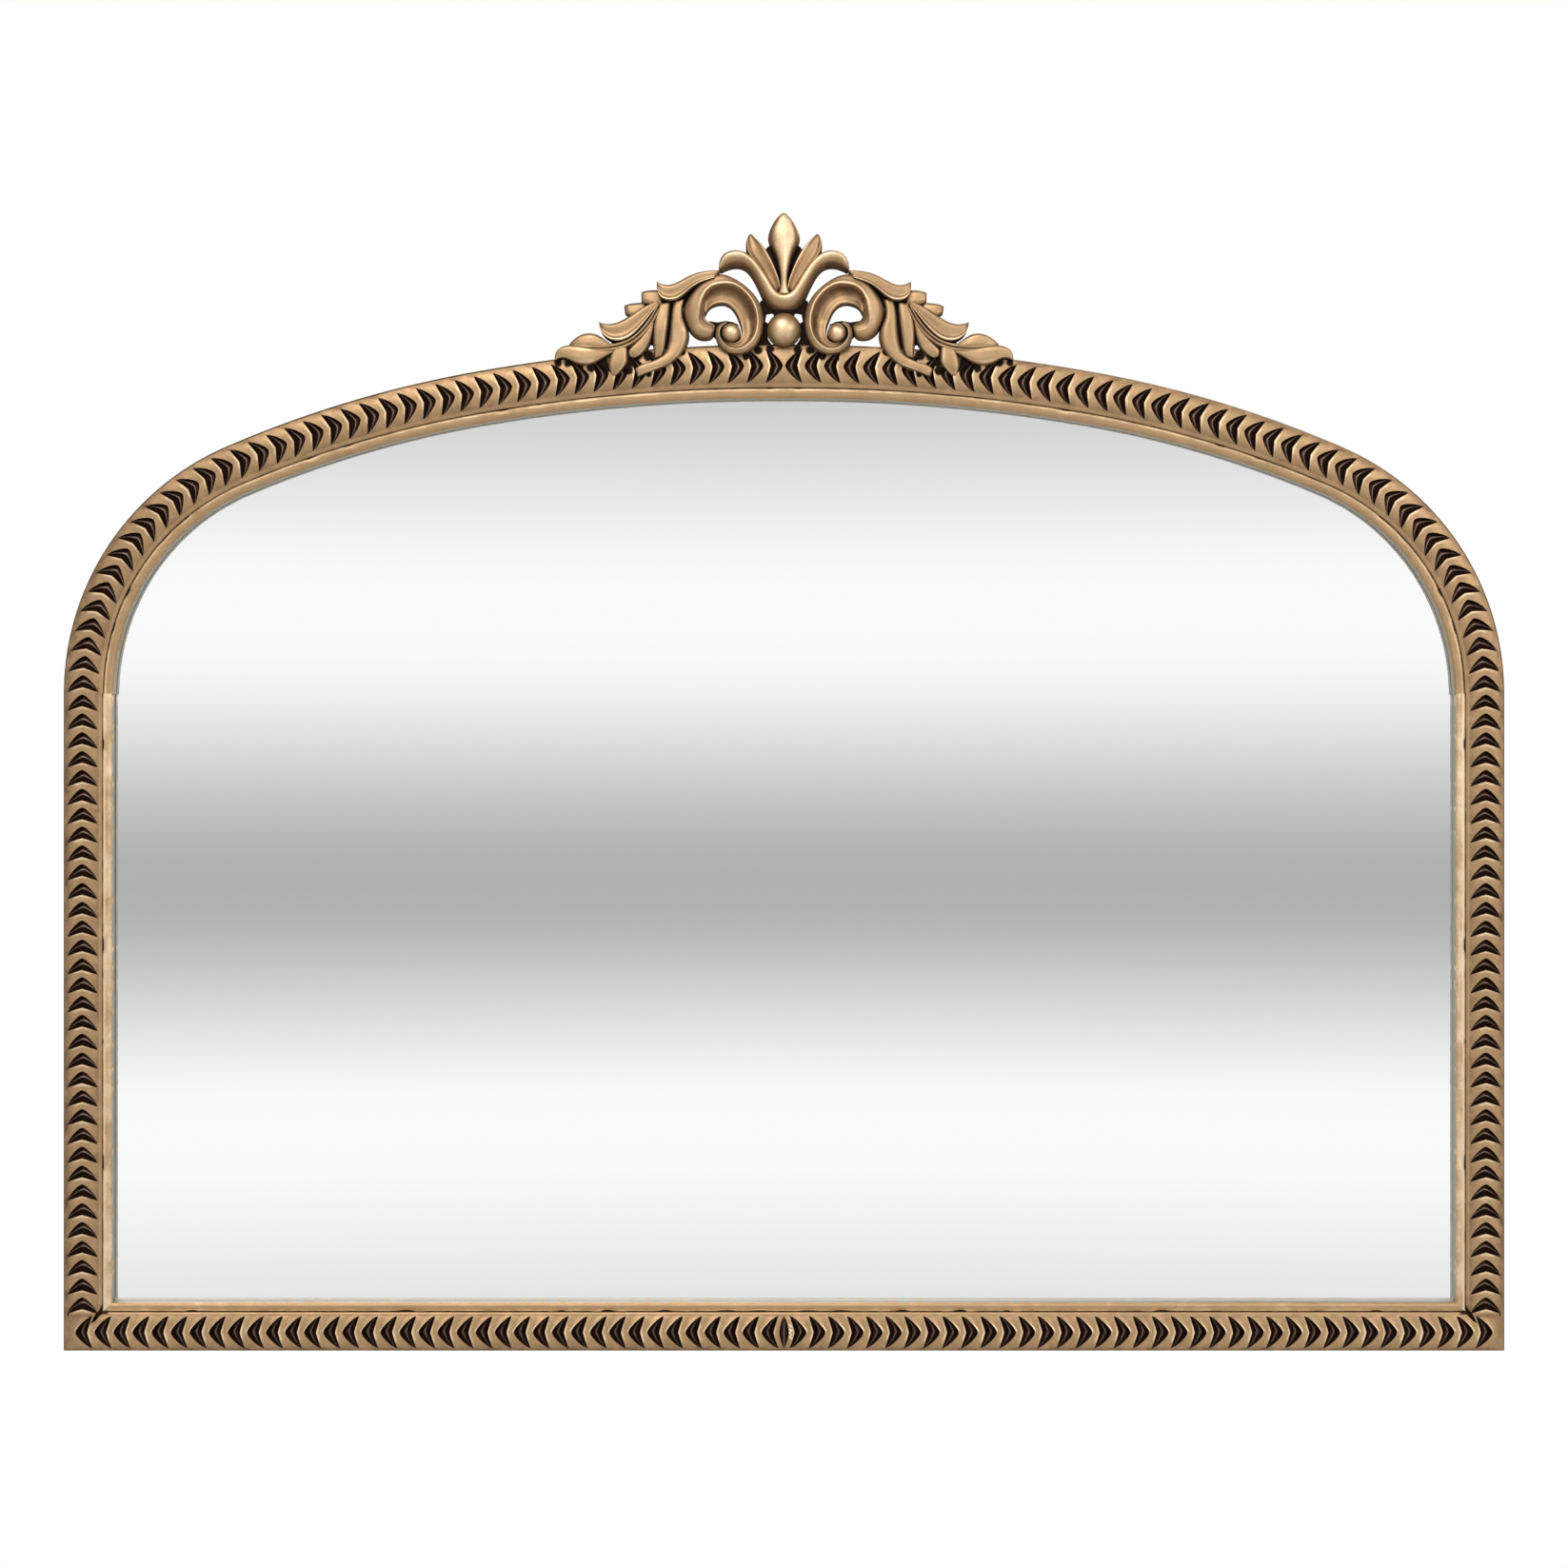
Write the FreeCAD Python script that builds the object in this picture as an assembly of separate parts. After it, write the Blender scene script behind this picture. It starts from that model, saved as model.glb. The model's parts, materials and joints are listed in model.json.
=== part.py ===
import FreeCAD, Part
import math
import os

# Arched gilt wall mirror, modelled in millimetres.
# +X is to the right seen from the front, the mirror faces -Y, +Z is up and the wall is the plane Y = 0.
# The origin is the point of the wall midway between the two hooks that the frame hangs on.

# Frame outline: straight stiles, then a five-centred arch of tangent arcs, given at the outer edge.
# The hooks lie a little below the springing of the arch.
frame_width = 1015.0
stile_height = 463.0
shoulder_radius = 189.6
shoulder_turn = 66.6
haunch_radius = 790.3
haunch_turn = 13.2
hook_drop = 20.0

# Section of the moulding, from its outer edge inwards and from the wall forwards.
wall_gap = 6.0
rail_width = 27.5
rail_depth = 24.0
rail_outer_chamfer = 1.6
rail_inner_chamfer = 1.1
liner_width = 8.0
liner_depth = 10.0
liner_crown = 1.6
liner_outer_step = 1.2
liner_ridge_shares = (0.3, 0.6)
pane_thickness = 4.0
board_thickness = 6.0
pane_edge_gap = 1.0

# Chevron pockets cut along the face of the moulding.
chevron_pitch = 13.4
outer_border = 3.2
inner_border = 2.7
pocket_depth = 4.5
pocket_length_share = 0.84
pocket_floor_share = 0.45
corner_apex_inset = 8.7
stile_tip_height = 27.2
lens_width = 6.4
lens_rib = 1.2
seam_offset = 3.8

# Loose tongues in the joints of the rails, and their slots.
tongue_length = 30.0
tongue_width = 14.0
tongue_thickness = 4.0
tongue_fit = 0.1
mitre_key_length = 22.0

# Crest castings above the crown of the arch.
crest_half_width = 161.0
crest_height = 92.0
crest_relief = 10.0
crest_back_depth = 10.0
blade_bury = 0.2
seat_gap = 0.3
pearl_radius = 11.5
pearl_height = 10.2
eye_radius = 6.1

# Offset straps that carry the crest castings from the backs of the arch rails.
strap_thickness = 2.0
strap_width = 12.0
strap_rail_leg = 22.0
strap_crest_leg = 15.0
centre_strap_crest_leg = 34.0
inner_strap_place = 74.5
outer_strap_place = 116.0
strap_screw_inset = 9.0
strap_foot = 30.0

# Wood screws, one shape in three lengths.
screw_head_radius = 3.2
screw_head_height = 1.4
screw_shank_radius = 1.6
screw_fit = 0.15
button_screw_length = 15.0
strap_screw_length = 9.0
hanger_screw_length = 14.0

# Turn buttons that hold the backing board in the rebate.
button_length = 30.0
button_width = 10.0
button_thickness = 1.4
button_corner = 2.5
button_pivot_inset = 9.0
button_play = 0.2

# Strap hangers with D rings on the backs of the stiles.
hanger_length = 52.0
hanger_width = 13.0
hanger_thickness = 1.2
hanger_first_screw = 26.0
hanger_screw_pitch = 16.0
hanger_lap = 6.0
ring_wire = 2.8
ring_width = 25.0
ring_side = 5.0
ring_play = 0.3

# Small round bumpers on the back of the frame.
bumper_radius = 7.0
bumper_edge_share = 0.25
bumper_corner_place = 60.0

# Cork pads under the lower edge of the pane.
pad_length = 30.0

# Flat facets round the small turned pieces and the beads.
facet_sides = 8
bead_sides = 12

# Every cut runs past the surface by this much.
overrun = 2.0

# Places on the back and in the rebate: shares of the half bottom rail, the stile and the arch.
bottom_button_share = 0.5
stile_button_share = 0.62
arch_button_share = 0.5
arch_bumper_share = 0.4
bottom_pad_share = 0.5

half_width = frame_width / 2
spring_z = hook_drop
bottom_z = spring_z - stile_height
back_y = -wall_gap
face_y = back_y - rail_depth
pane_back_y = back_y - board_thickness
pane_front_y = pane_back_y - pane_thickness
liner_front_y = pane_front_y - liner_depth
band_middle = (outer_border + rail_width - inner_border) / 2
band_half = (rail_width - inner_border - outer_border) / 2
pocket_half_length = chevron_pitch * pocket_length_share / 2
sight_inset = rail_width + liner_width
pane_inset = rail_width + pane_edge_gap
crest_back_y = face_y + crest_back_depth


def vec(x, y, z):
    return FreeCAD.Vector(x, y, z)


# The three arcs of the right half of the outer edge, from the springing to the crown.
def arch_arcs():
    first = math.radians(shoulder_turn)
    second = math.radians(shoulder_turn + haunch_turn)
    shoulder_x = half_width - shoulder_radius
    haunch_x = shoulder_x - (haunch_radius - shoulder_radius) * math.cos(first)
    haunch_z = spring_z - (haunch_radius - shoulder_radius) * math.sin(first)
    crown_radius = haunch_radius + haunch_x / math.cos(second)
    crown_centre_z = haunch_z - (crown_radius - haunch_radius) * math.sin(second)
    return [
        (shoulder_x, spring_z, shoulder_radius, 0.0, first),
        (haunch_x, haunch_z, haunch_radius, first, second),
        (0.0, crown_centre_z, crown_radius, second, math.pi / 2),
    ]


arcs = arch_arcs()
crown_arc = arcs[-1]
crown_z = crown_arc[1] + crown_arc[2]


# A place on the outer edge: its point, the direction of travel towards the crown, and the way inwards.
def bottom_place(distance):
    return (distance, bottom_z), (1.0, 0.0), (0.0, 1.0)


def stile_place(height):
    return (half_width, bottom_z + height), (0.0, 1.0), (-1.0, 0.0)


def arch_length(inset):
    return sum((radius - inset) * (end - start) for _, _, radius, start, end in arcs)


# The arc place that lies a given distance above the springing, measured on the line at this inset.
def arch_place(distance, inset):
    rest = distance
    for cx, cz, radius, start, end in arcs:
        run = (radius - inset) * (end - start)
        if rest <= run or end == arcs[-1][4]:
            angle = start + rest / (radius - inset)
            break
        rest -= run
    c, s = math.cos(angle), math.sin(angle)
    return (cx + radius * c, cz + radius * s), (-s, c), (-c, -s)


def at(place, along, inset, y):
    (ox, oz), (dx, dz), (nx, nz) = place
    return vec(ox + along * dx + inset * nx, y, oz + along * dz + inset * nz)


def polygon_face(points):
    return Part.Face(Part.makePolygon(points + points[:1]))


def outward(solid):
    if solid.Volume < 0:
        solid.reverse()
    return solid


# A closed solid with flat sides between two loops of the same number of points.
def block_between(first, second):
    count = len(first)
    faces = [polygon_face(first), polygon_face(second)]
    for i in range(count):
        j = (i + 1) % count
        faces.append(polygon_face([first[i], first[j], second[j], second[i]]))
    return outward(Part.Solid(Part.Shell(faces)))


def mirrored(shape):
    return shape.mirror(vec(0, 0, 0), vec(1, 0, 0))


# Sections as closed loops of (inset, y).
def rail_section():
    out, inn = rail_outer_chamfer, rail_inner_chamfer
    return [
        (0.0, back_y), (0.0, face_y + out), (out, face_y),
        (rail_width - inn, face_y), (rail_width, face_y + inn), (rail_width, back_y),
    ]


# The liner's front rises from a step beside the rail to a ridge and falls to its sight edge.
def liner_section():
    low = liner_front_y + liner_crown
    step = low + liner_outer_step
    ridge_start = rail_width + liner_width * liner_ridge_shares[0]
    ridge_end = rail_width + liner_width * liner_ridge_shares[1]
    return [
        (rail_width, step), (ridge_start, liner_front_y), (ridge_end, liner_front_y),
        (sight_inset, low), (sight_inset, pane_front_y), (rail_width, pane_front_y),
    ]


def section_face(section, to_point):
    return polygon_face([to_point(u, y) for u, y in section])


# A straight length of a section along the direction of travel from a place.
def straight_run(section, place, length):
    _, (dx, dz), _ = place
    face = section_face(section, lambda u, y: at(place, 0, u, y))
    return face.extrude(vec(dx * length, 0, dz * length))


# The part of a section that sweeps round the arch from the springing to the crown.
def arch_run(section):
    solids = []
    for cx, cz, radius, start, end in arcs:
        c, s = math.cos(start), math.sin(start)
        face = section_face(section, lambda u, y: vec(cx + (radius - u) * c, y, cz + (radius - u) * s))
        solids.append(face.revolve(vec(cx, 0, cz), vec(0, -1, 0), math.degrees(end - start)))
    return solids[0].fuse(solids[1:]).removeSplitter().Solids[0]


# The half of space beyond the right-hand mitre, as a wedge that trims the bottom or the stile.
def mitre_wedge(side):
    reach = sight_inset + overrun
    corner = bottom_place(half_width)
    near = at(corner, overrun, -overrun, 0)
    far = at(corner, -reach, reach, 0)
    third = at(corner, overrun, reach, 0) if side == "bottom" else at(corner, -reach, -overrun, 0)
    front = liner_front_y - rail_depth
    return polygon_face([vec(p.x, front, p.z) for p in (near, far, third)]).extrude(vec(0, -front, 0))


# One chevron pocket, its six corners in shares of its half length and of the half width of the band.
pocket_outline_shares = ((-1.0, 1.0), (0.28, 0.56), (1.0, 0.0), (0.28, -0.56), (-1.0, -1.0), (-0.5, 0.0))
pocket_centre_share = 0.22


def pocket_tool(place, outline, length, centre_share):
    floor_y = face_y + pocket_depth
    mouth_y = face_y - overrun
    mouth_scale = 1 + (1 - pocket_floor_share) * overrun / pocket_depth
    centre = centre_share * length
    loops = []
    for y, scale in ((mouth_y, mouth_scale), (floor_y, pocket_floor_share)):
        loops.append([at(place, centre + (a * length - centre) * scale,
                         band_middle + c * band_half * scale, y) for a, c in outline])
    return block_between(loops[0], loops[1])


def chevron(place):
    return pocket_tool(place, pocket_outline_shares, pocket_half_length, pocket_centre_share)


# Upright lens-shaped pocket where the two bottom rails' chevrons part.
lens_outline_shares = ((0.0, 1.0), (1.0, 0.3), (1.0, -0.3), (0.0, -1.0), (-1.0, -0.3), (-1.0, 0.3))


def lens_pocket():
    return pocket_tool(bottom_place(0.0), lens_outline_shares, lens_width / 2, 0.0)


# Cell middles that share a length evenly, in about the chevron pitch.
def cell_middles(start, end):
    count = round((end - start) / chevron_pitch)
    pitch = (end - start) / count
    return [start + (i + 0.5) * pitch for i in range(count)]


# The last chevron of the bottom rail runs across the mitre, so the stile is cut with it too.
def bottom_chevrons():
    tip_gap = chevron_pitch / 2 - pocket_half_length
    start = lens_width / 2 + lens_rib - tip_gap
    end = half_width - corner_apex_inset + tip_gap
    return [chevron(bottom_place(s)) for s in cell_middles(start, end)]


def stile_chevrons():
    start = stile_tip_height - (chevron_pitch / 2 - pocket_half_length)
    return [chevron(stile_place(s)) for s in cell_middles(start, stile_height)]


def arch_chevrons():
    middles = cell_middles(0.0, arch_length(band_middle))
    return [chevron(arch_place(s, band_middle)) for s in middles]


# Loose tongue lying across a joint; its slot is the same block, larger by the fit.
def tongue(place, grow, length=tongue_length):
    half = length / 2 + grow
    wide = tongue_width / 2 + grow
    thick = tongue_thickness / 2 + grow
    inset = rail_width / 2
    y = (back_y + face_y + pocket_depth) / 2
    loops = []
    for depth in (y - thick, y + thick):
        loops.append([at(place, a, inset + c, depth)
                      for a, c in ((-half, -wide), (half, -wide), (half, wide), (-half, wide))])
    return block_between(loops[0], loops[1])


# Joints of the right half: the seam of the bottom rail, the springing and the crown.
def joint_places():
    crown = ((0.0, crown_z), (-1.0, 0.0), (0.0, -1.0))
    return [bottom_place(seam_offset), stile_place(stile_height), crown]


# Mitre key: a short tongue square to the mitre, through the middle of the rail's section.
def mitre_key(grow):
    c = math.cos(math.pi / 4)
    half = rail_width / 2
    start = (half_width - half + half * c, bottom_z + half - half * c)
    return tongue((start, (c, c), (-c, c)), grow, mitre_key_length)


# A turned piece with flat facets about an axis along Y; its profile is (radius, y) from end to end.
def turned(profile, x, z, sides):
    turns = [2 * math.pi * i / sides for i in range(sides)]
    loops = []
    for radius, y in profile:
        if radius == 0:
            loops.append([vec(x, y, z)] * sides)
        else:
            loops.append([vec(x + radius * math.cos(a), y, z + radius * math.sin(a)) for a in turns])
    faces = [polygon_face(loop) for loop in (loops[0], loops[-1]) if loop[0] != loop[1]]
    for near, far in zip(loops, loops[1:]):
        for i in range(sides):
            j = (i + 1) % sides
            ring = [near[i]] + [near[j]] * (near[i] != near[j]) + [far[j]] + [far[i]] * (far[i] != far[j])
            faces.append(polygon_face(ring))
    return outward(Part.Solid(Part.Shell(faces)))


# A round hole for a faceted shank: its flats stay clear of the shank's corners by the play.
def faceted_bore(radius, x, z, start_y, end_y):
    outer = radius / math.cos(math.pi / facet_sides)
    return turned([(outer, start_y), (outer, end_y)], x, z, facet_sides)


# A wood screw driven towards -Y: pan head behind the plate, shank tapering to its point.
def screw(x, z, plate_y, length, grow=0.0):
    head_y = plate_y + screw_head_height + grow
    profile = [
        (screw_head_radius + grow, head_y), (screw_head_radius + grow, plate_y),
        (screw_shank_radius + grow, plate_y), (0, plate_y - length - grow),
    ]
    return turned(profile, x, z, facet_sides)


def screw_bore(x, z, plate_y, length):
    return screw(x, z, plate_y, length, screw_fit)


# Crest: blades lofted through cross sections, each station given as x and height of its two edges,
# in shares of the crest's half width and height, heights from the top of the crown.
leaf_profile_share = ((0.0, 0.42), (0.5, 1.0), (1.0, 0.42))
curl_profile_share = ((0.0, 0.5), (0.3, 0.44), (0.74, 1.0), (1.0, 0.5))

volute_shares = (
    (0.263, 0.120, 0.288, 0.137), (0.257, 0.022, 0.285, -0.013), (0.225, 0.005, 0.235, -0.064),
    (0.195, 0.015, 0.173, -0.067), (0.181, 0.053, 0.121, -0.013), (0.181, 0.109, 0.096, 0.081),
    (0.193, 0.179, 0.090, 0.193), (0.211, 0.249, 0.100, 0.305), (0.239, 0.294, 0.131, 0.402),
    (0.275, 0.315, 0.183, 0.479), (0.305, 0.305, 0.251, 0.531), (0.333, 0.290, 0.335, 0.535),
    (0.351, 0.285, 0.395, 0.465), (0.358, 0.262, 0.434, 0.388), (0.357, 0.232, 0.446, 0.305),
    (0.349, 0.205, 0.443, 0.221), (0.337, 0.186, 0.430, 0.144), (0.322, 0.175, 0.395, 0.060),
    (0.306, 0.159, 0.345, 0.028), (0.297, 0.130, 0.298, 0.070),
)
top_leaf_shares = (
    (0.291, 0.550, 0.297, 0.480), (0.387, 0.547, 0.387, 0.452), (0.458, 0.498, 0.454, 0.381),
    (0.518, 0.459, 0.526, 0.360), (0.552, 0.470, 0.554, 0.409),
)
back_stub_shares = (
    ((0.530, 0.405, 0.525, 0.309), (0.586, 0.404, 0.589, 0.303), (0.617, 0.391, 0.620, 0.306)),
    ((0.600, 0.300, 0.625, 0.220), (0.657, 0.314, 0.672, 0.213), (0.696, 0.318, 0.691, 0.231)),
)
long_leaf_shares = (
    (0.524, 0.335, 0.519, 0.290), (0.607, 0.306, 0.600, 0.189), (0.693, 0.216, 0.672, 0.072),
    (0.769, 0.160, 0.759, 0.057), (0.810, 0.173, 0.807, 0.137),
)
stem_shares = (
    (0.551, 0.303, 0.530, 0.273), (0.593, 0.207, 0.572, 0.176), (0.631, 0.119, 0.617, 0.074),
    (0.676, 0.055, 0.669, 0.001), (0.769, 0.008, 0.772, -0.047), (0.883, -0.005, 0.883, -0.045),
    (0.935, -0.005, 0.935, -0.030),
)
end_leaf_shares = (
    (
        (0.755, 0.001, 0.752, -0.045), (0.793, 0.031, 0.793, -0.055), (0.852, 0.088, 0.848, -0.055),
        (0.914, 0.037, 0.911, -0.045), (0.940, 0.000, 0.938, -0.030),
    ),
    (
        (0.728, -0.010, 0.724, -0.050), (0.810, -0.022, 0.800, -0.126), (0.880, -0.012, 0.873, -0.154),
        (0.949, -0.016, 0.949, -0.105), (1.000, -0.078, 1.000, -0.111),
    ),
)
hanging_leaf_shares = (
    (
        (0.572, 0.201, 0.553, 0.158), (0.600, 0.134, 0.570, 0.086), (0.631, 0.068, 0.593, 0.013),
        (0.686, -0.029, 0.648, -0.096),
    ),
    (
        (0.696, 0.020, 0.665, 0.000), (0.733, -0.050, 0.685, -0.066), (0.759, -0.144, 0.691, -0.150),
        (0.748, -0.226, 0.735, -0.228),
    ),
)
front_blade_shares = (
    (0.534, 0.345, 0.490, 0.345), (0.564, 0.158, 0.510, 0.158), (0.566, 0.074, 0.515, 0.074),
    (0.551, -0.111, 0.527, -0.105),
)
tail_blade_shares = (
    (0.462, 0.339, 0.424, 0.357), (0.487, 0.179, 0.445, 0.179), (0.500, 0.018, 0.424, 0.046),
    (0.518, -0.044, 0.436, -0.020), (0.550, -0.083, 0.475, -0.100), (0.575, -0.104, 0.530, -0.188),
    (0.600, -0.128, 0.578, -0.209), (0.642, -0.194, 0.634, -0.232),
)
centre_petal_shares = (
    (-0.005, 0.998, 0.005, 0.998), (-0.048, 0.930, 0.048, 0.930), (-0.066, 0.810, 0.066, 0.810),
    (-0.044, 0.712, 0.044, 0.712), (-0.018, 0.580, 0.018, 0.580), (-0.022, 0.340, 0.022, 0.340),
)
side_petal_shares = (
    (0.025, 0.340, 0.002, 0.360), (0.068, 0.485, 0.016, 0.501), (0.131, 0.639, 0.051, 0.662),
    (0.164, 0.746, 0.097, 0.777), (0.158, 0.829, 0.151, 0.832),
)
curled_petal_shares = (
    (0.005, 0.370, 0.045, 0.262), (0.037, 0.416, 0.081, 0.301), (0.092, 0.547, 0.128, 0.474),
    (0.155, 0.685, 0.181, 0.576), (0.197, 0.717, 0.212, 0.587), (0.239, 0.712, 0.247, 0.583),
    (0.280, 0.627, 0.282, 0.566),
)
cup_shares = ((-0.030, 0.420, 0.030, 0.420), (-0.072, 0.320, 0.072, 0.320), (-0.052, 0.262, 0.052, 0.262))
eye_place_shares = (0.225, 0.074)

# How far each blade's ridge rises, in shares of the relief, in the order in which the blades overlap.
leaf_rise_shares = (0.55, 0.58, 0.61, 0.64, 0.67, 0.70, 0.73, 0.76, 0.79, 0.82, 0.85)
petal_rise_shares = (0.8, 0.7)
cup_rise_share = 0.9


# Faceted blade; rise is its ridge above the face of the rail, bury sets how deep its back starts.
def blade(stations, profile, rise, bury):
    loops = []
    for xa, ha, xb, hb in stations:
        ax, az = xa * crest_half_width, crown_z + ha * crest_height
        bx, bz = xb * crest_half_width, crown_z + hb * crest_height
        back = crest_back_y + bury
        points = [vec(ax, back, az)]
        for share, height in profile:
            points.append(vec(ax + (bx - ax) * share, face_y - rise * height, az + (bz - az) * share))
        points.append(vec(bx, back, bz))
        loops.append(points)
    faces = [polygon_face(loops[0]), polygon_face(loops[-1])]
    count = len(loops[0])
    for near, far in zip(loops, loops[1:]):
        for i in range(count):
            j = (i + 1) % count
            faces.append(polygon_face([near[i], near[j], far[j]]))
            faces.append(polygon_face([near[i], far[j], far[i]]))
    return outward(Part.Solid(Part.Shell(faces)))


def joined(shapes):
    whole = shapes[0]
    for shape in shapes[1:]:
        whole = whole.fuse(shape)
    return whole


# Trims a casting flat at its back, and to the seat that the crown of the arch gives it.
def seated(shape):
    reach = crest_half_width * 2
    back_block = Part.makeBox(2 * reach, reach, 2 * reach, vec(-reach, crest_back_y, crown_z - reach))
    seat_centre = vec(0, face_y, crown_arc[1])
    seat = Part.makeCylinder(crown_arc[2] + seat_gap, rail_depth + overrun, seat_centre, vec(0, 1, 0))
    return shape.cut([back_block, seat])


# A faceted bead: latitudes of a ball whose foremost point lies at front_y.
def ball(x, height, radius, front_y):
    steps = bead_sides // 2
    turns = [math.pi * i / steps for i in range(1, steps)]
    profile = [(radius * math.sin(a), front_y + radius * (1 - math.cos(a))) for a in turns]
    profile = [(0, front_y)] + profile + [(0, front_y + 2 * radius)]
    return turned(profile, x, crown_z + height, bead_sides)


def crest_scroll():
    parts = [blade(volute_shares, curl_profile_share, crest_relief, blade_bury)]
    leaves = [top_leaf_shares, long_leaf_shares, stem_shares, front_blade_shares, tail_blade_shares]
    leaves += list(back_stub_shares) + list(end_leaf_shares) + list(hanging_leaf_shares)
    for number, (shares, rise) in enumerate(zip(leaves, leaf_rise_shares)):
        parts.append(blade(shares, leaf_profile_share, crest_relief * rise, blade_bury * (number + 2)))
    eye_x, eye_h = eye_place_shares
    parts.append(ball(eye_x * crest_half_width, eye_h * crest_height, eye_radius, face_y - crest_relief))
    return seated(joined(parts))


def crest_palmette():
    parts = [blade(centre_petal_shares, leaf_profile_share, crest_relief, blade_bury)]
    petals = (side_petal_shares, curled_petal_shares)
    for number, (shares, rise) in enumerate(zip(petals, petal_rise_shares)):
        petal = blade(shares, leaf_profile_share, crest_relief * rise, blade_bury * (number + 2))
        parts += [petal, mirrored(petal)]
    cup_rise = crest_relief * cup_rise_share
    parts.append(blade(cup_shares, leaf_profile_share, cup_rise, blade_bury * len(parts)))
    return seated(joined(parts))


# Slots for the tongues in the right-hand rails.
def joint_slots():
    return [tongue(place, tongue_fit) for place in joint_places()]


def bottom_rail(start_x, tools):
    rail = straight_run(rail_section(), bottom_place(start_x), half_width - start_x)
    return rail.cut([mitre_wedge("bottom"), mitre_key(tongue_fit)] + tools)


def stile(tools):
    rail = straight_run(rail_section(), stile_place(0.0), stile_height)
    return rail.cut([mitre_wedge("stile"), mitre_key(tongue_fit)] + tools)


def liner_bottom():
    run = straight_run(liner_section(), bottom_place(0.0), half_width).cut(mitre_wedge("bottom"))
    return run.fuse(mirrored(run)).removeSplitter().Solids[0]


def liner_stile():
    return straight_run(liner_section(), stile_place(0.0), stile_height).cut(mitre_wedge("stile"))


# Flat sheet that fills the arch inside a given inset from the outer edge.
def arch_sheet(inset, front_y, thickness):
    side = half_width - inset
    low_left, low_right = [vec(x, front_y, bottom_z + inset) for x in (-side, side)]
    spring_left, spring_right = [vec(x, front_y, spring_z) for x in (-side, side)]
    right, left = [], []
    for cx, cz, radius, start, end in arcs:
        r = radius - inset
        points = [vec(cx + r * math.cos(a), front_y, cz + r * math.sin(a))
                  for a in (start, (start + end) / 2, end)]
        right.append(Part.Arc(*points).toShape())
        left.append(Part.Arc(*[vec(-p.x, p.y, p.z) for p in reversed(points)]).toShape())
    edges = [Part.LineSegment(low_left, low_right).toShape()]
    edges.append(Part.LineSegment(low_right, spring_right).toShape())
    edges += right + left[::-1]
    edges.append(Part.LineSegment(spring_left, low_left).toShape())
    return Part.Face(Part.Wire(edges)).extrude(vec(0, thickness, 0))


# Places of the three turn buttons on the right half, with the rail that each belongs to.
def button_places():
    arch_reach = arch_length(button_pivot_inset)
    return {
        "bottom": bottom_place(half_width * bottom_button_share),
        "side": stile_place(stile_height * stile_button_share),
        "top": arch_place(arch_reach * arch_button_share, button_pivot_inset),
    }


def button_pivot(place):
    return at(place, 0, rail_width - button_pivot_inset, 0)


def turn_button(place):
    half = button_length / 2
    side = button_width / 2
    corner = button_corner
    inset = rail_width - button_pivot_inset
    outline = [
        (-side, -half + corner), (-side + corner, -half), (side - corner, -half), (side, -half + corner),
        (side, half - corner), (side - corner, half), (-side + corner, half), (-side, half - corner),
    ]
    front_y = back_y + button_play
    strip = polygon_face([at(place, a, inset + c, front_y) for a, c in outline])
    strip = strip.extrude(vec(0, button_thickness, 0))
    pivot = button_pivot(place)
    bore = faceted_bore(screw_shank_radius + button_play, pivot.x, pivot.z,
                        front_y - overrun, front_y + button_thickness + overrun)
    return strip.cut(bore)


# The underside of a turn button screw's head, clear of the button by its play.
button_seat_y = back_y + button_thickness + 2 * button_play


def button_screw(place):
    pivot = button_pivot(place)
    return screw(pivot.x, pivot.z, button_seat_y, button_screw_length)


def button_bore(place):
    pivot = button_pivot(place)
    return screw_bore(pivot.x, pivot.z, button_seat_y, button_screw_length)


# Offset strap: flat on the rail's back, over its outer edge, then flat on the back of the casting.
def crest_edge(x):
    return crown_arc[1] + math.sqrt(crown_arc[2] ** 2 - x ** 2)


def strap_web_z(x):
    return crest_edge(max(0.0, x - strap_width / 2)) + seat_gap


def crest_strap(x, crest_leg):
    web = strap_web_z(x)
    t = strap_thickness
    leg = strap_rail_leg
    profile = [
        (back_y, web - leg), (back_y + t, web - leg), (back_y + t, web + t),
        (crest_back_y + t, web + t), (crest_back_y + t, web + crest_leg),
        (crest_back_y, web + crest_leg), (crest_back_y, web), (back_y, web),
    ]
    left = x - strap_width / 2
    strap = polygon_face([vec(left, y, z) for y, z in profile]).extrude(vec(strap_width, 0, 0))
    if x == 0:
        foot = Part.makeBox(strap_foot, t, leg - seat_gap, vec(-strap_foot / 2, back_y, web - leg))
        strap = strap.fuse(foot).removeSplitter()
    holes = [faceted_bore(screw_shank_radius + screw_fit, hole_x, hole_z, y - t - overrun, y + overrun)
             for hole_x, hole_z, y in strap_screw_places(x, crest_leg)]
    return strap.cut(holes)


# Screw places of a strap, each with the height of the plate's back: one in the rail, one in the casting.
# The centre strap has a wide foot with two screws beside the joint, and one more that holds the pearl.
def strap_screw_places(x, crest_leg):
    web = strap_web_z(x)
    rail_z = web - strap_rail_leg + strap_screw_inset
    rail_back = back_y + strap_thickness
    crest_back = crest_back_y + strap_thickness
    places = [(x, web + crest_leg - strap_screw_inset / 2, crest_back)]
    if x == 0:
        side = strap_foot / 2 - strap_screw_inset / 2
        places += [(-side, rail_z, rail_back), (side, rail_z, rail_back)]
        places.append((0, crown_z + pearl_height, crest_back))
    else:
        places.append((x, rail_z, rail_back))
    return places


straps = {
    "centre": (0.0, centre_strap_crest_leg),
    "inner": (inner_strap_place, strap_crest_leg),
    "outer": (outer_strap_place, strap_crest_leg),
}


def strap_screws(name):
    return [screw(x, z, y, strap_screw_length) for x, z, y in strap_screw_places(*straps[name])]


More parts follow.
